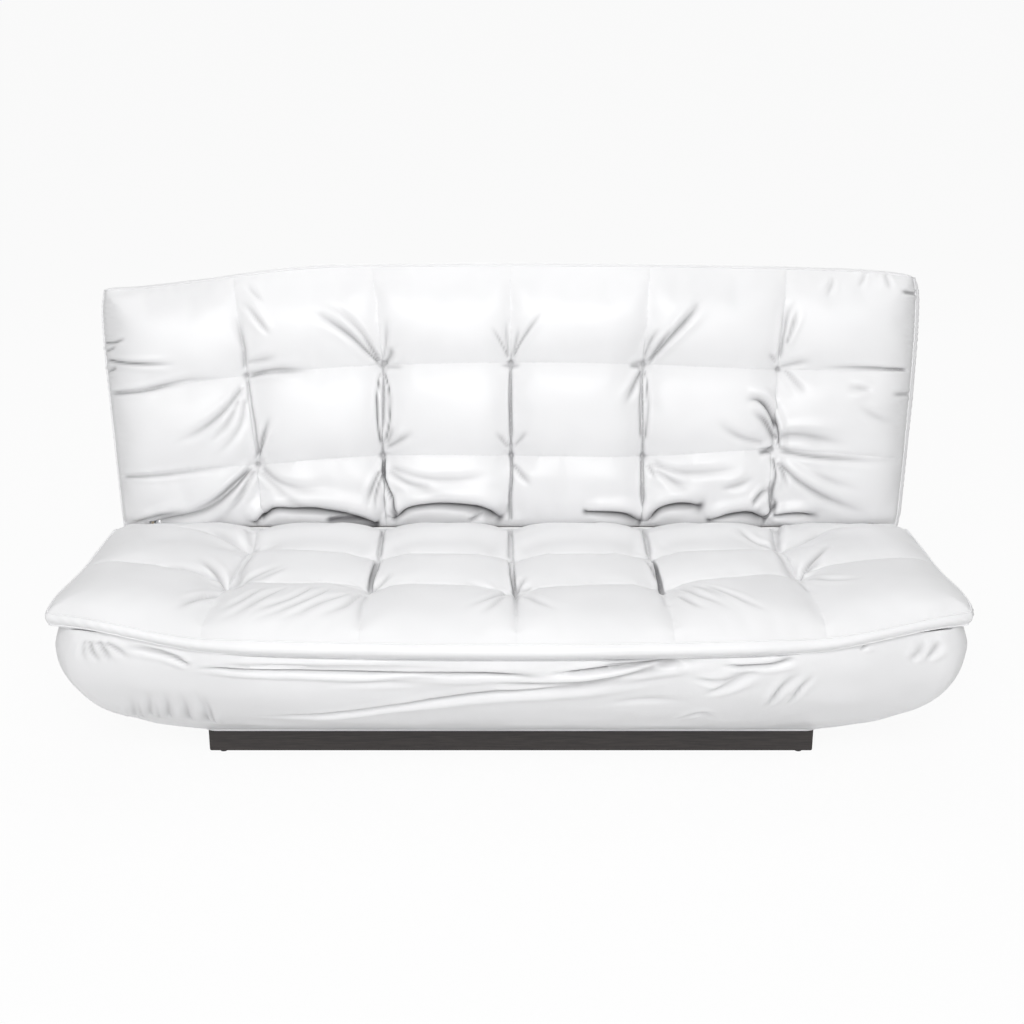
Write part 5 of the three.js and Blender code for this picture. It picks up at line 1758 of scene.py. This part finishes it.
    def cut_pockets(self, piece: bpy.types.Object) -> None:
        """Cuts the room for the hinge plates into both ends of the pad's butt.

        Args:
            piece: The closed pad.
        """
        pocket = Pocket()
        ring = pocket.profile()
        n = len(ring)
        faces = [list(range(n)), list(range(2 * n - 1, n - 1, -1))]
        faces += [[k, (k + 1) % n, n + (k + 1) % n, n + k] for k in range(n)]
        for side in (-1, 1):
            ends = sorted((side * pocket.inner, side * pocket.outer))
            shape = [self.to_world(np.full(n, x), ring[:, 0], ring[:, 1]) for x in ends]
            cutter = make_mesh("pocket", np.concatenate(shape), faces)
            cut = piece.modifiers.new("pocket", "BOOLEAN")
            cut.operation = "DIFFERENCE"
            cut.solver = "MANIFOLD"
            cut.object = cutter
            with bpy.context.temp_override(object=piece, active_object=piece, selected_objects=[piece]):
                bpy.ops.object.modifier_apply(modifier=cut.name)
            bpy.data.objects.remove(cutter)
        piece.data.materials.clear()

    def stitches(self, skin: Skin) -> tuple[Array, list]:
        """Lockstitches lying in the sewn lines of the face.

        Args:
            skin: The face.

        Returns:
            Their points and faces.
        """
        sewing = self.sewing
        rows = skin.points.shape[1]
        first, second, off = skin.frames()
        x, u = skin.coords[..., 0], skin.coords[..., 1]
        parts = []
        for row in self.rows:
            j = np.abs(u - row.middle(x)).argmin(1)
            for i in range(sewing.stitch_margin, len(j) - sewing.stitch_margin, sewing.stitch_every):
                parts.append(self.stitch(skin, off, (i, j[i]), first[i, j[i]]))
        for column in self.columns:
            i = np.abs(x - column.middle(u)).argmin(0)
            for j in range(2 * sewing.stitch_margin, rows - sewing.stitch_margin, sewing.stitch_every):
                parts.append(self.stitch(skin, off, (i[j], j), second[i[j], j]))
        return merged(parts)

    def stitch(self, skin: Skin, off: Array, at: tuple[int, int], way: Array) -> tuple[Array, list]:
        """Makes one stitch: a short thread that dips into the cover at both ends.

        Args:
            skin: The face.
            off: Outward directions of the face.
            at: Lattice point under its middle.
            way: Direction of the thread.

        Returns:
            Its points and faces.
        """
        middle, normal = skin.points[at], off[at]
        run, rise = STITCH_RUN[:, None], STITCH_RISE[:, None]
        return tube(middle + run * way + rise * normal, self.sewing.stitch_radius, sides=5)

    def build(self) -> list[bpy.types.Object]:
        """Builds and dresses the pad.

        Returns:
            Its pieces: the pad, its piping and its stitches.
        """
        form = self.form
        x, u, v, flat = self.form_face()
        across, along = flat[..., 0], flat[..., 1]
        skin = Skin(self.to_world(x, u, v), across, along)
        depth, pinch_shade = self.pinched(across, along)
        length = self.length(across)
        inside = np.minimum(self.half_width(along, length) - np.abs(across), length - along)
        fade = ease((along - self.butt) / form.pinch_from_butt) * ease(inside / form.pinch_inside)
        skin.points = skin.points - skin.frames()[2] * (depth * fade)[..., None]
        sewn = skin.points
        skin.crease(self.folds)
        self.edge_gathers(skin)
        creased = ease((along - self.butt) / form.crease_from_butt)[..., None]
        skin.points = sewn + (skin.points - sewn) * creased
        on_nose = along < self.butt + self.nose + form.before_face
        nose_floor = np.maximum(v - form.most_sunk, form.nose_floor)
        lowest = np.where(on_nose, nose_floor, self.underside + form.thinnest)
        x, u, v = self.from_world(skin.points)
        v = np.maximum(v, lowest)
        u = np.maximum(u, np.maximum(self.butt * form.butt_share, along - form.most_slid))
        skin.points = self.to_world(x, u, v)
        points, faces, lines = self.closed(x, u, v)
        piece = make_mesh(self.name, self.to_world(points[:, 0], points[:, 1], points[:, 2]), faces)
        # painted shade of the folds and of the seams' and tufts' pinch
        shade_folds(piece, np.clip(np.maximum(skin.drawn, pinch_shade * fade), 0, 1))
        self.cut_pockets(piece)
        pieces = [piece]
        for stem, path in lines.items():
            cord = self.to_world(path[:, 0], path[:, 1], path[:, 2])
            pieces.append(make_mesh(f"{self.name}_{stem}_piping", *tube(cord, self.edging.piping_radius)))
        pieces.append(make_mesh(f"{self.name}_stitches", *self.stitches(skin)))
        for made, finish in zip(pieces, (LEATHERETTE, PIPING, PIPING, THREAD), strict=True):
            made.data.materials.append(finish.material())
            self.attach(made)
        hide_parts(self.node)
        return pieces

    def attach(self, piece: bpy.types.Object) -> None:
        """Makes a piece of the pad follow its body. A pad whose nose stays in the fold is not attached to it:
        the piece's place is only baked into its points.

        Args:
            piece: The pad, its piping or its stitches.
        """
        if self.stays is None:
            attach(piece, self.body.value)
            return
        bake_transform(piece)

    def from_world(self, points: Array) -> tuple[Array, Array, Array]:
        """Turns the room's axes to the pad's own.

        Args:
            points: Points of the room.

        Returns:
            x, u and v.
        """
        along = math.radians(self.rise_deg)
        off = along + self.face_turn * math.pi / 2
        y, z = points[..., 1] - HINGE_Y, points[..., 2] - HINGE_Z
        u, v = (y * math.cos(turn) + z * math.sin(turn) for turn in (along, off))
        return points[..., 0], u, v

    def edge_gathers(self, skin: Skin) -> None:
        """Adds small gathers where the face is sewn to its border.

        Args:
            skin: The face.
        """
        form = self.form
        x, u = skin.coords[..., 0], skin.coords[..., 1]
        half = self.half_width(u, self.length(x))
        to_side = half - np.abs(x)
        least = self.edging.least_gathered
        patches = least + (1 - least) * ease(waves(x, u, length=170.0, seed=Seed.EDGE) * 1.4 + 0.3)
        side = bell(to_side - 12.0, reach=26.0) * patches * ease((u - form.calm) / form.calm)
        skin.ripple(side, length=17.0, height=0.9, tilt=90.0)
        to_far = self.length(x) - u
        far = bell(to_far - 8.0, reach=16.0) * patches * ease(to_side / form.calm)
        skin.ripple(far, length=31.0, height=0.25, tilt=0.0)


def seat_pad() -> Pad:
    """Sizes the seat's pad, with the photograph's tufts.

    Returns:
        The pad.
    """
    strong, weak = (6.0, 6.5, 7.0, 1.6, 1.2), (3.5, 3.5, 4.0, 1.2, 0.8)
    return Pad(
        name="seat_cushion", node="seat_pad", body=Body.SEAT, rise_deg=178.2, face_turn=-1,
        corner=653.0, bow=64.0, fold_half=925.0, far_half=948.0, belly=10.0, frame_length=602.0,
        columns=(
            Column((-587, -587, -609, -615, -629), (15, 200, 428, 500, 690), weak),
            Column((-295, -298, -300, -302, -307), (15, 252, 439, 510, 705), strong),
            Column((-2, 5, 9, 10, 12), (15, 258, 462, 530, 717), strong),
            Column((309, 312, 324, 326, 330), (15, 246, 439, 510, 705), strong),
            Column((606, 606, 624, 628, 640), (15, 195, 369, 450, 690), weak),
        ),
        rows=(
            Row((-948, -760, -587, -298, 5, 312, 606, 760, 948),
                (60, 95, 200, 252, 258, 246, 195, 95, 60), 1.8),
            Row((-948, -780, -609, -300, 9, 324, 624, 790, 948),
                (300, 345, 428, 439, 462, 439, 369, 310, 270), 1.5),
        ),
        folds=SEAT_FOLDS, corner_rise=40.0, crown=22.0, border_bulge=14.0, corner_pull=5.0, right_pull=7.0,
        taper=18.0, tuck=24.0, tip_gather=1.5, nose_puff=13.0, stays=((50.0, 42.0), (69.2, 15.5)),
    )


def back_pad() -> Pad:
    """Sizes the back's pad, with the photograph's tufts.

    Returns:
        The pad.
    """
    strong, weak = (6.5, 7.0, 6.0, 1.6, 1.2), (3.2, 4.0, 2.8, 1.4, 1.2)
    return Pad(
        name="back_cushion", node="back_pad", body=Body.BACK, rise_deg=74.1, face_turn=1,
        corner=604.0, bow=17.0, fold_half=913.0, far_half=956.0, belly=3.0, frame_length=575.0,
        columns=(
            Column((-587, -595, -617, -622, -642), (15, 159, 370, 430, 601), weak),
            Column((-295, -301, -299, -304, -321), (15, 180, 391, 450, 613), strong),
            Column((-2, 0, 0, 0, -2), (15, 180, 397, 455, 613), strong),
            Column((309, 310, 309, 313, 323), (15, 178, 393, 450, 613), strong),
            Column((606, 611, 624, 628, 642), (15, 194, 381, 440, 610), weak),
        ),
        rows=(
            Row((-957, -595, -301, 0, 310, 611, 957), (128, 159, 180, 180, 178, 194, 170), 1.8),
            Row((-957, -617, -299, 0, 309, 624, 957), (328, 370, 391, 397, 393, 381, 379), 1.8),
        ),
        folds=BACK_FOLDS, corner_pull=14.0, droop=36.0, left_flare=6.0, left_out=4.0, crown=20.0,
        border_bulge=26.0, far_bulge=0.34, left_bulge=0.3, roll=28.0, roll_width=66.0, far_roll=9.0,
        far_roll_width=38.0, tuck=5.0,
    )


# Hull


@dataclass
class Hull:
    """The padded cover round the chest's front and ends, a boat-shaped belly."""

    foot_z: float = 60.0
    foot_half: float = 690.0
    brim_half: float = 951.0
    foot_front: float = 428.0
    brim_front: float = 644.0
    brim_bow: float = 60.0
    foot_corner: float = 40.0
    brim_corner: float = 68.0
    rear: float = 188.0
    rear_taper: float = 22.0
    rear_top: float = 328.0
    rear_blend: float = 30.0
    side_power: float = 3.5
    brim_tuck: float = 17.0
    front_power: float = 2.2
    levels: int = 84
    side_steps: int = 96
    corner_steps: int = 30
    front_steps: int = 330
    rim_z: float = 320.0
    end_lean: float = 227 / 262
    front_lean: float = 192 / 262
    chest_half: float = 678.0
    chest_front: float = 414.0
    chest_foot_z: float = 58.0
    end_gap: float = 0.81
    front_gap: float = 0.75
    inner_levels: int = 7
    inner_corner: float = 40.0
    tilt_deg: float = 1.8
    top_gap: float = 2.0
    rim_rise: float = 1.05
    brim_tuck_from: float = 0.8
    brim_tuck_over: float = 0.2
    seen_behind: float = 60.0
    fold_shade: float = 0.65
    slack: float = 4.0
    creep: float = 1.2
    foot_corner_at: float = 960.0
    brim_corner_at: float = 1130.0
    flat_deg: float = 75.0
    fill: float = 0.8
    welt_radius: float = 2.6
    welt_drop: float = 0.6
    welt_out: float = 1.001

    def plan(self, half: float, rear_half: float, front: float, bow: float, corner: float,
             square: bool) -> Array:
        """Draws the outline at one height, from the rear left end to the rear right one.

        Args:
            half: Half its width.
            rear_half: Half its width at the rear.
            front: Reach of its front from the hinge line.
            bow: How far the front bows out.
            corner: Size of its front corners.
            square: Whether these are square and not round.

        Returns:
            Points across, and along from the hinge line.
        """
        share = np.arange(self.side_steps)[:, None] / self.side_steps
        corner_y = -(front - corner)
        side = np.concatenate([-(rear_half + (half - rear_half) * share),
                               self.rear + (corner_y - self.rear) * share], axis=1)
        turn = np.linspace(0, 1, self.corner_steps + 1)[:, None]
        if square:
            inwards, forward = np.maximum(2 * turn - 1, 0), np.minimum(2 * turn, 1)
        else:
            inwards, forward = 1 - np.cos(turn * math.pi / 2), np.sin(turn * math.pi / 2)
        bend = np.concatenate([-half + corner * inwards, corner_y - corner * forward], axis=1)
        reach = half - corner
        x = -reach * (1 - 2 * np.arange(1, self.front_steps // 2 + 1)[:, None] / self.front_steps)
        nose = np.concatenate([x, -front - bow * (1 - (x / reach) ** 2)], axis=1)
        left = np.concatenate([side, bend, nose])
        return np.concatenate([left, left[-2::-1] * [-1, 1]])

    def top(self, seat: Pad, x: Array, y: Array) -> Array:
        """Height of the cover's upper edge: just under the seat's pad, and lower behind the hinge line.

        Args:
            seat: The seat's pad.
            x: Places across.
            y: Places along from the hinge line.

        Returns:
            The height.
        """
        u = -y
        beyond_side = (np.abs(x) - FRAME_HALF) / (seat.far_half - FRAME_HALF)
        beyond_far = (u - seat.frame_length) / (seat.length(x) - seat.frame_length)
        rise = seat.lift(x, u) * np.clip(self.rim_rise * np.maximum(beyond_side, beyond_far), 0, 1)
        slope = u * math.tan(math.radians(self.tilt_deg))
        under = HINGE_Z + slope + seat.underside - self.top_gap + rise + seat.thin_tip(x, u)
        return under + (self.rear_top - under) * ease((y + self.rear_blend) / self.rear_blend)

    def outer_skin(self, seat: Pad) -> Skin:
        """Shapes the outer face: levels from the foot up, then places round the hull.

        Args:
            seat: The seat's pad.

        Returns:
            The face, before its folds.
        """
        share = np.linspace(0, 1, self.levels)
        plans = []
        for s in share:
            side, front = 1 - (1 - s) ** self.side_power, 1 - (1 - s) ** self.front_power
            half = self.foot_half + (self.brim_half - self.foot_half) * side
            half -= self.brim_tuck * float(ease((s - self.brim_tuck_from) / self.brim_tuck_over))
            reach = self.foot_front + (self.brim_front - self.foot_front) * front
            corner = self.foot_corner + (self.brim_corner - self.foot_corner) * s
            rear_half, bow = half - self.rear_taper * s, self.brim_bow * s
            plans.append(self.plan(half, rear_half, reach, bow, corner, square=False))
        plan = np.stack(plans)
        top = self.top(seat, plan[-1, :, 0], plan[-1, :, 1])
        z = self.foot_z + (top - self.foot_z)[None, :] * share[:, None]
        points = np.stack([plan[..., 0], plan[..., 1] + HINGE_Y, z], axis=-1)
        up, round_it = (run_along(points, axis) for axis in (0, 1))
        middle = round_it - round_it[:, -1:] / 2
        skin = Skin(points, up, np.broadcast_to(middle[self.levels // 2], middle.shape).copy())
        hidden = plan[..., 1] > self.seen_behind
        skin.pixels = np.where(hidden[..., None], -FAR_OFF, skin.pixels)
        return skin

    def slacken(self, skin: Skin) -> None:
        """Lets the cover hang a little slack, and gathers it at the corners of its foot and brim.

        Args:
            skin: The outer face.
        """
        share = np.linspace(0, 1, self.levels)[:, None]
        round_it, up = skin.coords[..., 1], skin.coords[..., 0]
        free = np.sin(math.pi * np.clip(share, 0, 1)) ** 0.5
        slack = waves(round_it, 2.4 * up, length=330.0, seed=Seed.HULL_SLACK) * self.slack
        slack = slack + waves(round_it, 1.3 * up, length=120.0, seed=Seed.HULL_CREEP) * self.creep
        skin.points = skin.points + skin.frames()[2] * (slack * free)[..., None]
        ends = bell(np.abs(round_it) - self.foot_corner_at, reach=150.0)
        foot = bell(share - 0.06, reach=0.16) * np.ones_like(round_it)
        skin.ripple(foot * (0.15 + ends), length=38.0, height=0.8, tilt=90.0)
        ends = bell(np.abs(round_it) - self.brim_corner_at, reach=190.0)
        brim = bell(share - 0.97, reach=0.10) * np.ones_like(round_it)
        skin.ripple(brim * (0.2 + ends), length=31.0, height=1.0, tilt=80.0)

    def inner_rings(self, seat: Pad) -> Array:
        """Shapes the inner face, which lies against the chest's boards.

        Args:
            seat: The seat's pad.

        Returns:
            Its rings, from the lip down.
        """
        rings = []
        for z in np.linspace(self.foot_z, self.rim_z, self.inner_levels):
            half = self.chest_half + self.end_lean * (z - self.chest_foot_z) + self.end_gap
            front = self.chest_front + self.front_lean * (z - self.chest_foot_z) + self.front_gap
            flat = self.plan(half, half, front, 0.0, self.inner_corner, square=True)
            rings.append(np.concatenate([flat + [0, HINGE_Y], np.full((len(flat), 1), z)], axis=1))
        lip = rings[-1].copy()
        lip[:, 2] = self.top(seat, lip[:, 0], lip[:, 1] - HINGE_Y)
        return np.stack([*rings, lip])[::-1]

    def build(self, seat: Pad) -> list[bpy.types.Object]:
        """Builds and dresses the hull.

        Args:
            seat: The seat's pad, which the cover's edge lies under.

        Returns:
            Its pieces: the cover and the welt at its foot.
        """
        skin = self.outer_skin(seat)
        foot_rows = skin.points[:2].copy()
        self.slacken(skin)
        skin.crease(HULL_FOLDS)
        skin.points[:2] = foot_rows
        top = self.top(seat, skin.points[..., 0], skin.points[..., 1] - HINGE_Y)
        skin.points[..., 2] = np.clip(skin.points[..., 2], self.foot_z, top)
        rings = np.concatenate([skin.points, self.inner_rings(seat)])
        levels, count = rings.shape[:2]
        faces = lattice_quads(levels, count).tolist()
        grid = np.arange(levels * count).reshape(levels, count)
        faces += np.stack([grid[-1, :-1], grid[0, :-1], grid[0, 1:], grid[-1, 1:]], axis=1).tolist()
        faces += [grid[:, 0].tolist(), grid[::-1, -1].tolist()]
        piece = make_mesh("hull_upholstery", rings.reshape(-1, 3), faces, self.flat_deg)
        # painted shade of the hull's folds, weakened by fold_shade
        shade_folds(piece, np.clip(skin.drawn, 0, 1) * self.fold_shade)
        path = skin.points[0] - [0, 0, self.welt_drop]
        path[:, 0] *= self.welt_out
        welt = make_mesh("hull_foot_welt", *tube(path[2:-2], self.welt_radius))
        fitted(piece, LEATHERETTE, Body.BASE)
        fitted(welt, PIPING, Body.BASE)
        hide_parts("hull_cover")
        return [piece, welt]


# Small hardware


# A screw's head: rings of radius and height, counted in its radius. The smallest are its six-sided socket
HEAD = ((1.0, 0.0), (1.0, 0.22), (0.86, 0.4), (0.62, 0.5), (0.44, 0.52), (0.4, 0.16))
SOCKET = 0.43
# A direction that no screw faces
ASLANT = (0.0, 0.31, 0.95)


@dataclass
class Fasteners:
    """Screws, staples and springs that hold the frame, the boards and the covers together."""

    head: float = 5.0
    head_sunk: float = 0.4
    head_points: int = 24
    screw_y: tuple[float, float] = (-44.0, 24.0)
    screw_drops: tuple[float, float] = (112.0, 148.0)
    board: float = 16.0
    board_lean_deg: float = 40.906
    bracket_steel: float = 4.3
    chest_half: float = 678.0
    chest_foot_z: float = 58.0
    staple_from: tuple[float, float] = (824.0, 34.0)
    staple_pitch: float = 42.0
    staple_span: float = 11.0
    staple_inset: float = 12.0
    staple_aside: float = 2.0
    staple_tilt: float = 0.35
    staple_deep: float = 1.5
    staple_proud: float = 0.5
    spring_turns: int = 4
    spring_pitch: float = 1.4
    spring_radius: float = 6.6
    wire_radius: float = 0.6
    cover_outside: float = -62.0
    strip_half: float = 822.0
    strip_radius: float = 5.6
    strip_sag: float = 0.8
    pawl_pin: tuple[float, float, float] = (832.0, -48.0, -65.0)

    def screw_head(self, place: Array, way: Array, radius: float) -> tuple[Array, list]:
        """Makes a domed head with a six-sided socket.

        Args:
            place: Middle of its foot.
            way: Direction that it faces.
            radius: Its radius.

        Returns:
            Its points and faces.
        """
        way = way / np.linalg.norm(way)
        side = np.cross(way, ASLANT)
        side /= np.linalg.norm(side)
        up = np.cross(way, side)
        points, count = [], self.head_points
        for share, height in HEAD:
            for k in range(count):
                angle = 2 * math.pi * k / count
                own = share if share > SOCKET else share * (1 - 0.09 * math.cos(6 * angle))
                across = math.cos(angle) * side + math.sin(angle) * up
                points.append(place + radius * (own * across + height * way))
        return np.asarray(points), rings_closed(len(HEAD), count)

    def screws(self) -> bpy.types.Object:
        """Screws of the brackets in the chest's end boards, which ride on the base.

        Returns:
            The piece.
        """
        lean = math.radians(self.board_lean_deg)
        through_board = (self.board + self.bracket_steel) * math.hypot(1, math.tan(lean))
        parts = []
        for side in (-1, 1):
            for y in self.screw_y:
                for drop in self.screw_drops:
                    z = HINGE_Z - drop
                    x = self.chest_half - through_board + math.tan(lean) * (z - self.chest_foot_z)
                    way = np.array([-side * math.cos(lean), 0.0, math.sin(lean)])
                    place = np.array([side * x, HINGE_Y + y, z]) - way * self.head_sunk
                    parts.append(self.screw_head(place, way, self.head))
        return fitted(make_mesh("bracket_screws", *merged(parts), 40.0), ZINC, Body.BASE)

    def staples(self, back: Pad) -> bpy.types.Object:
        """Staples round the dust cover's edge, which ride on the back.

        Args:
            back: The back's pad.

        Returns:
            The piece.
        """
        (wide, low), high = self.staple_from, back.frame_length - self.staple_inset
        side = wide + self.staple_aside
        deep, proud = self.cover_outside + self.staple_deep, self.cover_outside - self.staple_proud
        parts = []
        for x0, u0, x1, u1 in ((-wide, low, wide, low), (-wide, high, wide, high),
                               (-side, low, -side, high), (side, low, side, high)):
            count = round(math.hypot(x1 - x0, u1 - u0) / self.staple_pitch)
            for k in range(1, count):
                x, u = x0 + (x1 - x0) * k / count, u0 + (u1 - u0) * k / count
                tilt = self.staple_tilt * math.sin(12.9898 * k + x0)
                dx, du = math.cos(tilt) * self.staple_span / 2, math.sin(tilt) * self.staple_span / 2
                if x0 == x1:
                    dx, du = du, dx
                ends = np.array([[x - dx, u - du, deep], [x - dx, u - du, proud],
                                 [x + dx, u + du, proud], [x + dx, u + du, deep]])
                parts.append(tube(back.to_world(*ends.T), self.wire_radius, sides=5))
        return fitted(make_mesh("dust_cover_staples", *merged(parts)), ZINC, Body.BACK)

    def fold_strip(self) -> bpy.types.Object:
        """Strip of cover that closes the fold between seat and back, rolled on the hinge line.

        Returns:
            The piece.
        """
        x = np.linspace(-self.strip_half, self.strip_half, num=240)
        sag = self.strip_sag * waves(x, 0 * x, length=70.0, seed=Seed.STRIP) - 1.0
        path = np.stack([x, HINGE_Y + 0 * x, HINGE_Z + sag], axis=-1)
        strip = make_mesh("fold_strip", *tube(path, self.strip_radius, sides=12))
        return fitted(strip, PIPING, Body.BACK)

    def springs(self) -> list[bpy.types.Object]:
        """Torsion springs on the pawl pins that push the pawls between the teeth.

        Returns:
            Both pieces.
        """
        made = []
        for side, body in ((-1, Body.PAWL_LEFT), (1, Body.PAWL_RIGHT)):
            across, along, up = self.pawl_pin
            pivot = np.array([side * across, HINGE_Y + along, HINGE_Z + up])
            turns = np.linspace(0, 2 * math.pi * self.spring_turns, 24 * self.spring_turns)
            rise = side * -self.spring_pitch * turns / (2 * math.pi)
            ring = self.spring_radius * np.stack([np.cos(turns), np.sin(turns)])
            coil = np.stack([rise, *ring], -1)
            tail = coil[-1] + np.array([[0, 3.0, 10.0], [0, 8.0, 22.0]])
            path = pivot + np.concatenate([coil, tail])
            spring = make_mesh(f"{body.value}_spring", *tube(path, self.wire_radius, sides=6))
            made.append(fitted(spring, ZINC, body))
        return made


# The carried CAD nodes


@dataclass(frozen=True)
class Dressing:
    """Which finish each carried node of the frame gets, by the start of its name."""

    finishes: tuple[tuple[str, Finish], ...] = (
        ("plinth", PLINTH_FOIL),
        ("glide", NYLON),
        ("chest", CHEST_BOARD),
        ("seat_bumper", RUBBER),
        ("back_bumper", RUBBER),
        ("seat_rail", BLACK_COAT),
        ("back_rail", BLACK_COAT),
        ("seat_slat", SLAT_BEECH),
        ("back_slat", SLAT_BEECH),
        ("back_dust_cover", DUST_COVER),
    )

    def finish_of(self, name: str) -> Finish:
        """Finds the finish of a node.

        Args:
            name: The node's name.

        Returns:
            Its finish, zinc plate where none is named.
        """
        for stem, finish in self.finishes:
            if name.startswith(stem):
                return finish
        return ZINC

    def dress(self) -> None:
        """Gives every carried node its material."""
        for name, node in frame["nodes"].items():
            material = self.finish_of(name).material()
            node.data.materials.clear()
            node.data.materials.append(material)


# Studio


WHITE = (1.0, 1.0, 1.0, 1.0)


@dataclass
class Studio:
    """Pale floor, white surroundings and large soft lamps."""

    floor_size: float = 60000.0
    floor_colour: str = "f4f4f4"
    seen_white: float = 1.0
    world_light: float = 0.43
    side_flag: float = 0.24
    flag_from: float = 0.25
    backdrop: float = 0.985
    shadow_hold: float = 0.93
    lamps_at: tuple[float, float, float] = (0.0, -0.05, 0.45)

    def white_where_seen(self, tree: bpy.types.NodeTree) -> bpy.types.NodeSocket:
        """Tells rays that see from rays that only light.

        Args:
            tree: The node tree.

        Returns:
            1 for rays from the eye, from a gloss or through glass, 0 for the others.
        """
        path = add_node(tree, "LightPath")
        first = add_node(tree, "Math", {"operation": "MAXIMUM"}, Input0=path.outputs["Is Camera Ray"],
                         Input1=path.outputs["Is Glossy Ray"])
        both = add_node(tree, "Math", {"operation": "MAXIMUM"}, Input0=first.outputs[0],
                        Input1=path.outputs["Is Transmission Ray"])
        return both.outputs[0]

    def floor(self) -> None:
        """Lays the floor, which keeps the object's shadow."""
        half = self.floor_size / 2
        corners = np.array([[-half, -half, 0], [half, -half, 0], [half, half, 0], [-half, half, 0]])
        made = make_mesh("studio_floor", corners, [[0, 1, 2, 3]])
        material = bpy.data.materials.new("studio_floor")
        tree = empty_tree(material)
        matt = add_node(tree, "BsdfDiffuse", Color=linear(self.floor_colour))
        white = add_node(tree, "Emission", Strength=self.seen_white)
        share = add_node(tree, "Math", {"operation": "MULTIPLY"}, Input0=self.white_where_seen(tree),
                         Input1=self.shadow_hold)
        mix = add_node(tree, "MixShader", Input0=share.outputs[0], Input1=matt.outputs[0],
                       Input2=white.outputs[0])
        add_node(tree, "OutputMaterial", Surface=mix.outputs[0])
        made.data.materials.append(material)

    def world(self) -> None:
        """White surroundings that light at a plain level."""
        world = bpy.data.worlds.new("studio_white")
        bpy.context.scene.world = world
        tree = empty_tree(world)
        heading = add_node(tree, "SeparateXYZ", Vector=add_node(tree, "TexCoord").outputs["Generated"])
        aside = add_node(tree, "Math", {"operation": "ABSOLUTE"}, Input0=heading.outputs["X"])
        level = add_node(tree, "MapRange", Value=aside.outputs[0], From_Min=self.flag_from,
                         To_Min=self.world_light, To_Max=self.world_light * self.side_flag)
        light = add_node(tree, "Background", Color=WHITE, Strength=level.outputs[0])
        seen = add_node(tree, "Background", Color=WHITE, Strength=self.backdrop * self.seen_white)
        mix = add_node(tree, "MixShader", Input0=self.white_where_seen(tree), Input1=light.outputs[0],
                       Input2=seen.outputs[0])
        add_node(tree, "OutputWorld", Surface=mix.outputs[0])

    def lamp(self, name: str, place: tuple[float, float, float], size: tuple[float, float],
             watts: float) -> None:
        """Hangs a soft lamp that points at the sofa bed.

        Args:
            name: Its name.
            place: Its place in metres.
            size: Its sides in metres.
            watts: Its power.
        """
        data = bpy.data.lights.new(name, "AREA")
        data.shape = "RECTANGLE"
        data.size, data.size_y = size
        data.energy = watts
        made = bpy.data.objects.new(name, data)
        made.location = place
        aim = Vector(self.lamps_at) - Vector(place)
        made.rotation_euler = aim.to_track_quat("-Z", "Y").to_euler()
        bpy.context.scene.collection.objects.link(made)

    def build(self) -> None:
        """Sets up floor, surroundings and lamps."""
        bpy.context.scene.view_settings.view_transform = "Standard"
        self.floor()
        self.world()
        self.lamp("front_softbox", place=(-0.2, -4.0, 3.0), size=(2.8, 1.6), watts=124)
        self.lamp("top_softbox", place=(0.0, 0.2, 3.4), size=(3.0, 1.8), watts=24)
        self.lamp("rear_fill", place=(0.0, 3.6, 2.0), size=(2.4, 1.4), watts=16)


def main() -> None:
    """Builds the sofa bed's looks in order and reports each piece."""
    logging.basicConfig(level=logging.INFO, format="%(name)s: %(message)s")
    VIEW.camera()
    Studio().build()
    Dressing().dress()
    seat, back = seat_pad(), back_pad()
    built = seat.build() + back.build() + Hull().build(seat)
    fasteners = Fasteners()
    built += [fasteners.screws(), fasteners.staples(back), fasteners.fold_strip(), *fasteners.springs()]
    for piece in built:
        log.info("%s: %d faces", piece.name, len(piece.data.polygons))


if __name__ == "__main__":
    main()
